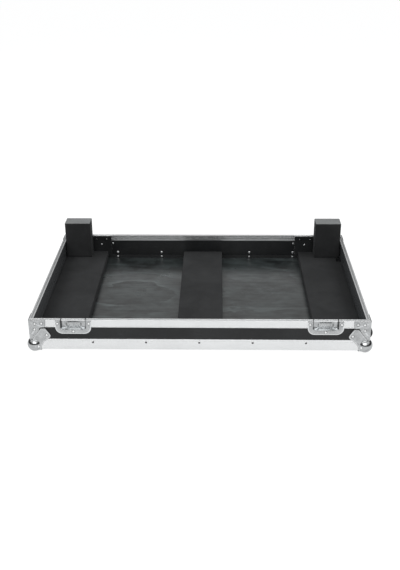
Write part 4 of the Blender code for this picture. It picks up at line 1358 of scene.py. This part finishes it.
class TRAY_OT_rivets(bpy.types.Operator):
    """Rivets of the edges, corners, latches, hinge, bolts and wheel housings"""

    bl_idname = "tray.rivets"
    bl_label = "Rivets"

    def execute(self, context):
        self.edges()
        self.plates()
        self.rear_wall()
        return {"FINISHED"}

    def edges(self):
        """Rivets of the base edges; the front ones stand for the frame's own."""
        z = BASE_Z + BASE_ROW * MM
        places = [(at((i - 2) * FRONT_PITCH * MM, -HALF_DEPTH, z), (0, -1, 0)) for i in range(5)]
        for side in (-1, 1):
            for i in (-1, 0, 1):
                places.append((at(side * HALF_LENGTH, i * SIDE_PITCH * MM, z), (side, 0, 0)))
            places.append((at(side * REAR_RIVET * MM, HALF_DEPTH, z), (0, 1, 0)))
        fronts = [f"base_rivet_{i + 1}" for i in range(5)]
        rivets("edge_rivets", places, "tray", pin=3.6 * MM, replaced=fronts)

    def plates(self):
        """Rivets of the braces, ball corners, dishes, bolt plates and wheel housings."""
        lifted = STAND + 0.3 * MM
        out = -math.sqrt(BALL_RADIUS**2 - BALL_RIVET.length_squared)
        places = []
        for side, end, _ in CORNERS:
            for s, h in BRACE_RIVETS + LOBE_RIVETS:
                places.append((corner_point(side, end, s * MM, -lifted, h * MM), (0, end, 0)))
                places.append((corner_point(side, end, -lifted, s * MM, h * MM), (side, 0, 0)))
            for x, y in ((BALL_RIVET.x, out), (out, BALL_RIVET.x)):
                foot = BALL_MIDDLE + Vector((x, y, BALL_RIVET.z))
                way = Vector((-side * x, -end * y, BALL_RIVET.z)).normalized()
                places.append((corner_point(side, end, *foot), way))
        for side in (-1, 1):
            for x, h in DISH_RIVETS:
                y = -HALF_DEPTH - STAND - 0.4 * MM
                places.append((at(side * DISH_X + x * MM, y, BASE_Z + h * MM), (0, -1, 0)))
            for x, h in BOLT_PLATE_RIVETS:
                x = side * (BOLT_PLATE_X + x * MM)
                places.append((at(x, HALF_DEPTH + STAND, BASE_Z + h * MM), (0, 1, 0)))
        for _, row in ROWS:
            low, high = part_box(f"wheel_housing_{row}")
            for y in (low.y + 3.2 * MM, high.y - 3.2 * MM):
                for z in (high.z - 4 * MM, BASE_Z + 20 * MM):
                    places.append((Vector((high.x, y, z)), (1, 0, 0)))
        rivets("plate_rivets", places, "tray", size=0.95, pin=0.6 * MM)

    def rear_wall(self):
        """Rivets of the hinge and the keepers, and the tails that show inside the rear wall."""
        hinge_y = HINGE_LEAF[0].y - CENTRE_Y + 1.2 * MM

        def inside(x, h):
            return at(x * MM, WALL_IN_Y, BASE_Z + h * MM), (0, -1, 0)

        def outside(x, y, z):
            return at(x, y, z), (0, 1, 0)

        tray, flap, within, tails = [], [], [], []
        for x in HINGE_RIVETS:
            if x != HINGE_RIVET_MIDDLE:
                within.append(inside(x, FLAP_ROW))
                tray.append(inside(x, TRAY_ROW))
            out = math.copysign(min(abs(x), HINGE_RIVETS_END), x) * MM
            flap.append(outside(out, hinge_y, BASE_Z + FLAP_ROW * MM))
            tray.append(outside(out, hinge_y, BASE_Z + TRAY_ROW * MM))
        for side in (-1, 1):
            tails += [inside(side * x, h) for x, h in BOLT_TAILS]
            tray.append(inside(side * BOLT_TAIL_LOW[0], BOLT_TAIL_LOW[1]))
            flap.append(inside(side * FLAP_END_RIVET[0], FLAP_END_RIVET[1]))
            for z in (KEEPER[0].z + 3.5 * MM, KEEPER[1].z - 3.5 * MM):
                flap.append(outside(side * KEEPER_X, HALF_DEPTH + STAND, z))
        rivets("rear_wall_rivets", tray, "tray", size=0.95)
        rivets("bolt_plate_tails", tails, "tray", size=0.7, pin=2.4 * MM)
        rivets("flap_inner_rivets", within, "flap", size=1.25, pin=0.8 * MM)
        rivets("flap_rivets", flap, "flap", size=0.95)


class TRAY_OT_panels(bpy.types.Operator):
    """Finishes of the wall panels and the floor board"""

    bl_idname = "tray.panels"
    bl_label = "Panels"

    def execute(self, context):
        for node, name in (("front_wall", "laminate"), ("rear_wall", "laminate"), ("floor_panel", "board")):
            dressed(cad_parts[node].data, name)
        for side, where in SIDES:
            low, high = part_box(f"{where}_wall")
            inner = low.x if side > 0 else high.x
            panel = softened(f"{where}_wall", "laminate", 0.4 * MM).data
            # Painted light on the inner faces of the side walls.
            marked(panel, "worn", [abs(v.co.x - inner) < 0.1 * MM for v in panel.vertices])
        low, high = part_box("flap_panel")
        over = Vector((FLAP_PANEL_OVER, 0, 0))
        panel = smooth(bevelled(box_mesh("flap panel", low - over, high + over), 0.4 * MM))
        piece("panel_flap", panel, "laminate", ["flap_panel"], "flap")
        return {"FINISHED"}


# Studio
def soft_light(name, place, power, size):
    """A rectangular light that looks at the tray."""
    light = bpy.data.lights.new(name, "AREA")
    light.energy = power
    light.shape = "RECTANGLE"
    light.size, light.size_y = size
    obj = object_of(name, light)
    obj.location = place
    obj.rotation_euler = (Vector((0, 0, 0.05)) - Vector(place)).to_track_quat("-Z", "Y").to_euler()
    return obj


def studio_world():
    """White where it is looked at, softly graded where metal mirrors it, and a dim fill for the rest."""
    world = bpy.data.worlds.new("studio")
    world.use_nodes = True
    world.node_tree.nodes.clear()
    t = Nodes(world.node_tree)
    split = t.tree.nodes.new("ShaderNodeSeparateXYZ")
    t.put(split.inputs[0], t.add("ShaderNodeTexCoord", output="Generated"))
    x, y, z = split.outputs
    height = t.eased(z, 0.37, 0.50, 0.17, 0.92)
    walls = t.eased(t.maths("ABSOLUTE", x), 0.45, 0.85, 1.0, 0.30)
    side = t.blended(t.eased(z, 0.35, 0.65, 1.0, 0.0), 1.0, walls)
    front = t.times(t.eased(y, -0.55, -0.05, 1.0, 0.0), t.eased(z, 0.22, 0.40, 1.0, 0.0))
    graded = t.add("ShaderNodeBackground", {"Color": t.blended(front, t.times(height, side), 0.10)})
    fill = t.add("ShaderNodeBackground", {"Color": (0.96, 0.98, 1.0), "Strength": FILL_STRENGTH})
    white = t.add("ShaderNodeBackground", {"Color": (1, 1, 1)})
    shown = t.shaded(t.ray("Glossy"), white, graded)
    t.close("ShaderNodeOutputWorld", t.shaded(t.seen_directly(), fill, shown))
    return world


def floor_material():
    """A matt floor that shows white from above and dims behind and beside the tray where metal mirrors it."""
    material = bpy.data.materials.new("studio floor")
    material.use_nodes = True
    material.node_tree.nodes.clear()
    t = Nodes(material.node_tree)
    split = t.tree.nodes.new("ShaderNodeSeparateXYZ")
    t.put(split.inputs[0], t.add("ShaderNodeNewGeometry", output="Position"))
    x, y, _ = split.outputs
    behind = t.ranged(y, 0.4, 0.95, FLOOR_GLOW, 0.35)
    beside = t.ranged(t.maths("ABSOLUTE", x), 0.8, 1.3, 1.0, 0.1)
    strength = t.blended(t.ray("Glossy"), FLOOR_GLOW, t.times(behind, beside))
    matt = t.add("ShaderNodeBsdfDiffuse", {"Color": paint("floor")})
    glow = t.add("ShaderNodeEmission", {"Strength": strength})
    surface = t.shaded(t.times(t.seen_directly(), GLOW_SHARE), matt, glow)
    t.close("ShaderNodeOutputMaterial", surface)
    return material


def photo_camera():
    """A camera at the photo's viewing angle, without shift."""
    camera = bpy.data.cameras.new("photo view")
    camera.sensor_width = SENSOR_MM
    camera.lens = FOCAL_PIXELS / PHOTO_PIXELS * SENSOR_MM
    camera.clip_start, camera.clip_end = 0.05, 200
    pitch, yaw, roll = (math.radians(v) for v in CAMERA_TURN)
    right = Vector((math.cos(yaw), math.sin(yaw), 0))
    level = math.cos(pitch)
    forward = Vector((-level * math.sin(yaw), level * math.cos(yaw), -math.sin(pitch)))
    up = right.cross(forward)
    across = math.cos(roll) * right + math.sin(roll) * up
    upward = -math.sin(roll) * right + math.cos(roll) * up
    turn = Matrix((across, upward, -forward)).transposed().to_4x4()
    x, y, z = CAMERA_PLACE
    obj = object_of("photo view", camera)
    obj.matrix_world = Matrix.Translation(at(x, y, z + BASE_Z)) @ turn
    return obj


class TRAY_OT_stage(bpy.types.Operator):
    """Pale floor, soft studio light and the camera"""

    bl_idname = "tray.stage"
    bl_label = "Stage"

    def execute(self, context):
        reach = 40.0
        corners = [(-reach, -reach, 0), (reach, -reach, 0), (reach, reach, 0), (-reach, reach, 0)]
        mesh = mesh_of("studio floor", corners, [(0, 1, 2, 3)])
        mesh.materials.append(floor_material())
        object_of("studio_floor", mesh)
        soft_light("front light", (-0.2, -3.0, 2.1), FRONT_POWER, (3.0, 1.8))
        for side in (-1, 1):
            light = soft_light("side light", (side * 2.0, 0.1, 2.3), SIDE_POWER, (1.6, 1.3))
            light.visible_glossy = False
        context.scene.world = studio_world()
        context.scene.camera = photo_camera()
        context.scene.view_settings.view_transform = "Standard"
        return {"FINISHED"}


class TRAY_PT_panel(bpy.types.Panel):
    """The tray's pieces, sizes and colours"""

    bl_idname = "TRAY_PT_panel"
    bl_label = "Flight Case Tray"
    bl_space_type = "VIEW_3D"
    bl_region_type = "UI"
    bl_category = "Flight Case"

    def draw(self, context):
        for operator in PIECES:
            self.layout.operator(operator.bl_idname)
        for group in (context.scene.tray_sizes, context.scene.tray_colours):
            box = self.layout.box()
            for name in group.__annotations__:
                box.prop(group, name)


PIECES = (
    TRAY_OT_panels,
    TRAY_OT_rims,
    TRAY_OT_base_edges,
    TRAY_OT_corner_braces,
    TRAY_OT_ball_corners,
    TRAY_OT_latches,
    TRAY_OT_hinge,
    TRAY_OT_flap_bolts,
    TRAY_OT_wheels,
    TRAY_OT_foam,
    TRAY_OT_rivets,
    TRAY_OT_stage,
)
CLASSES = (TraySizes, TrayColours, *PIECES, TRAY_PT_panel)


def register():
    for cls in CLASSES:
        bpy.utils.register_class(cls)
    bpy.types.Scene.tray_sizes = PointerProperty(type=TraySizes)
    bpy.types.Scene.tray_colours = PointerProperty(type=TrayColours)


def unregister():
    del bpy.types.Scene.tray_colours
    del bpy.types.Scene.tray_sizes
    for cls in reversed(CLASSES):
        bpy.utils.unregister_class(cls)


def main():
    register()
    for operator in PIECES:
        group, name = operator.bl_idname.split(".")
        getattr(getattr(bpy.ops, group), name)()


if __name__ == "__main__":
    main()
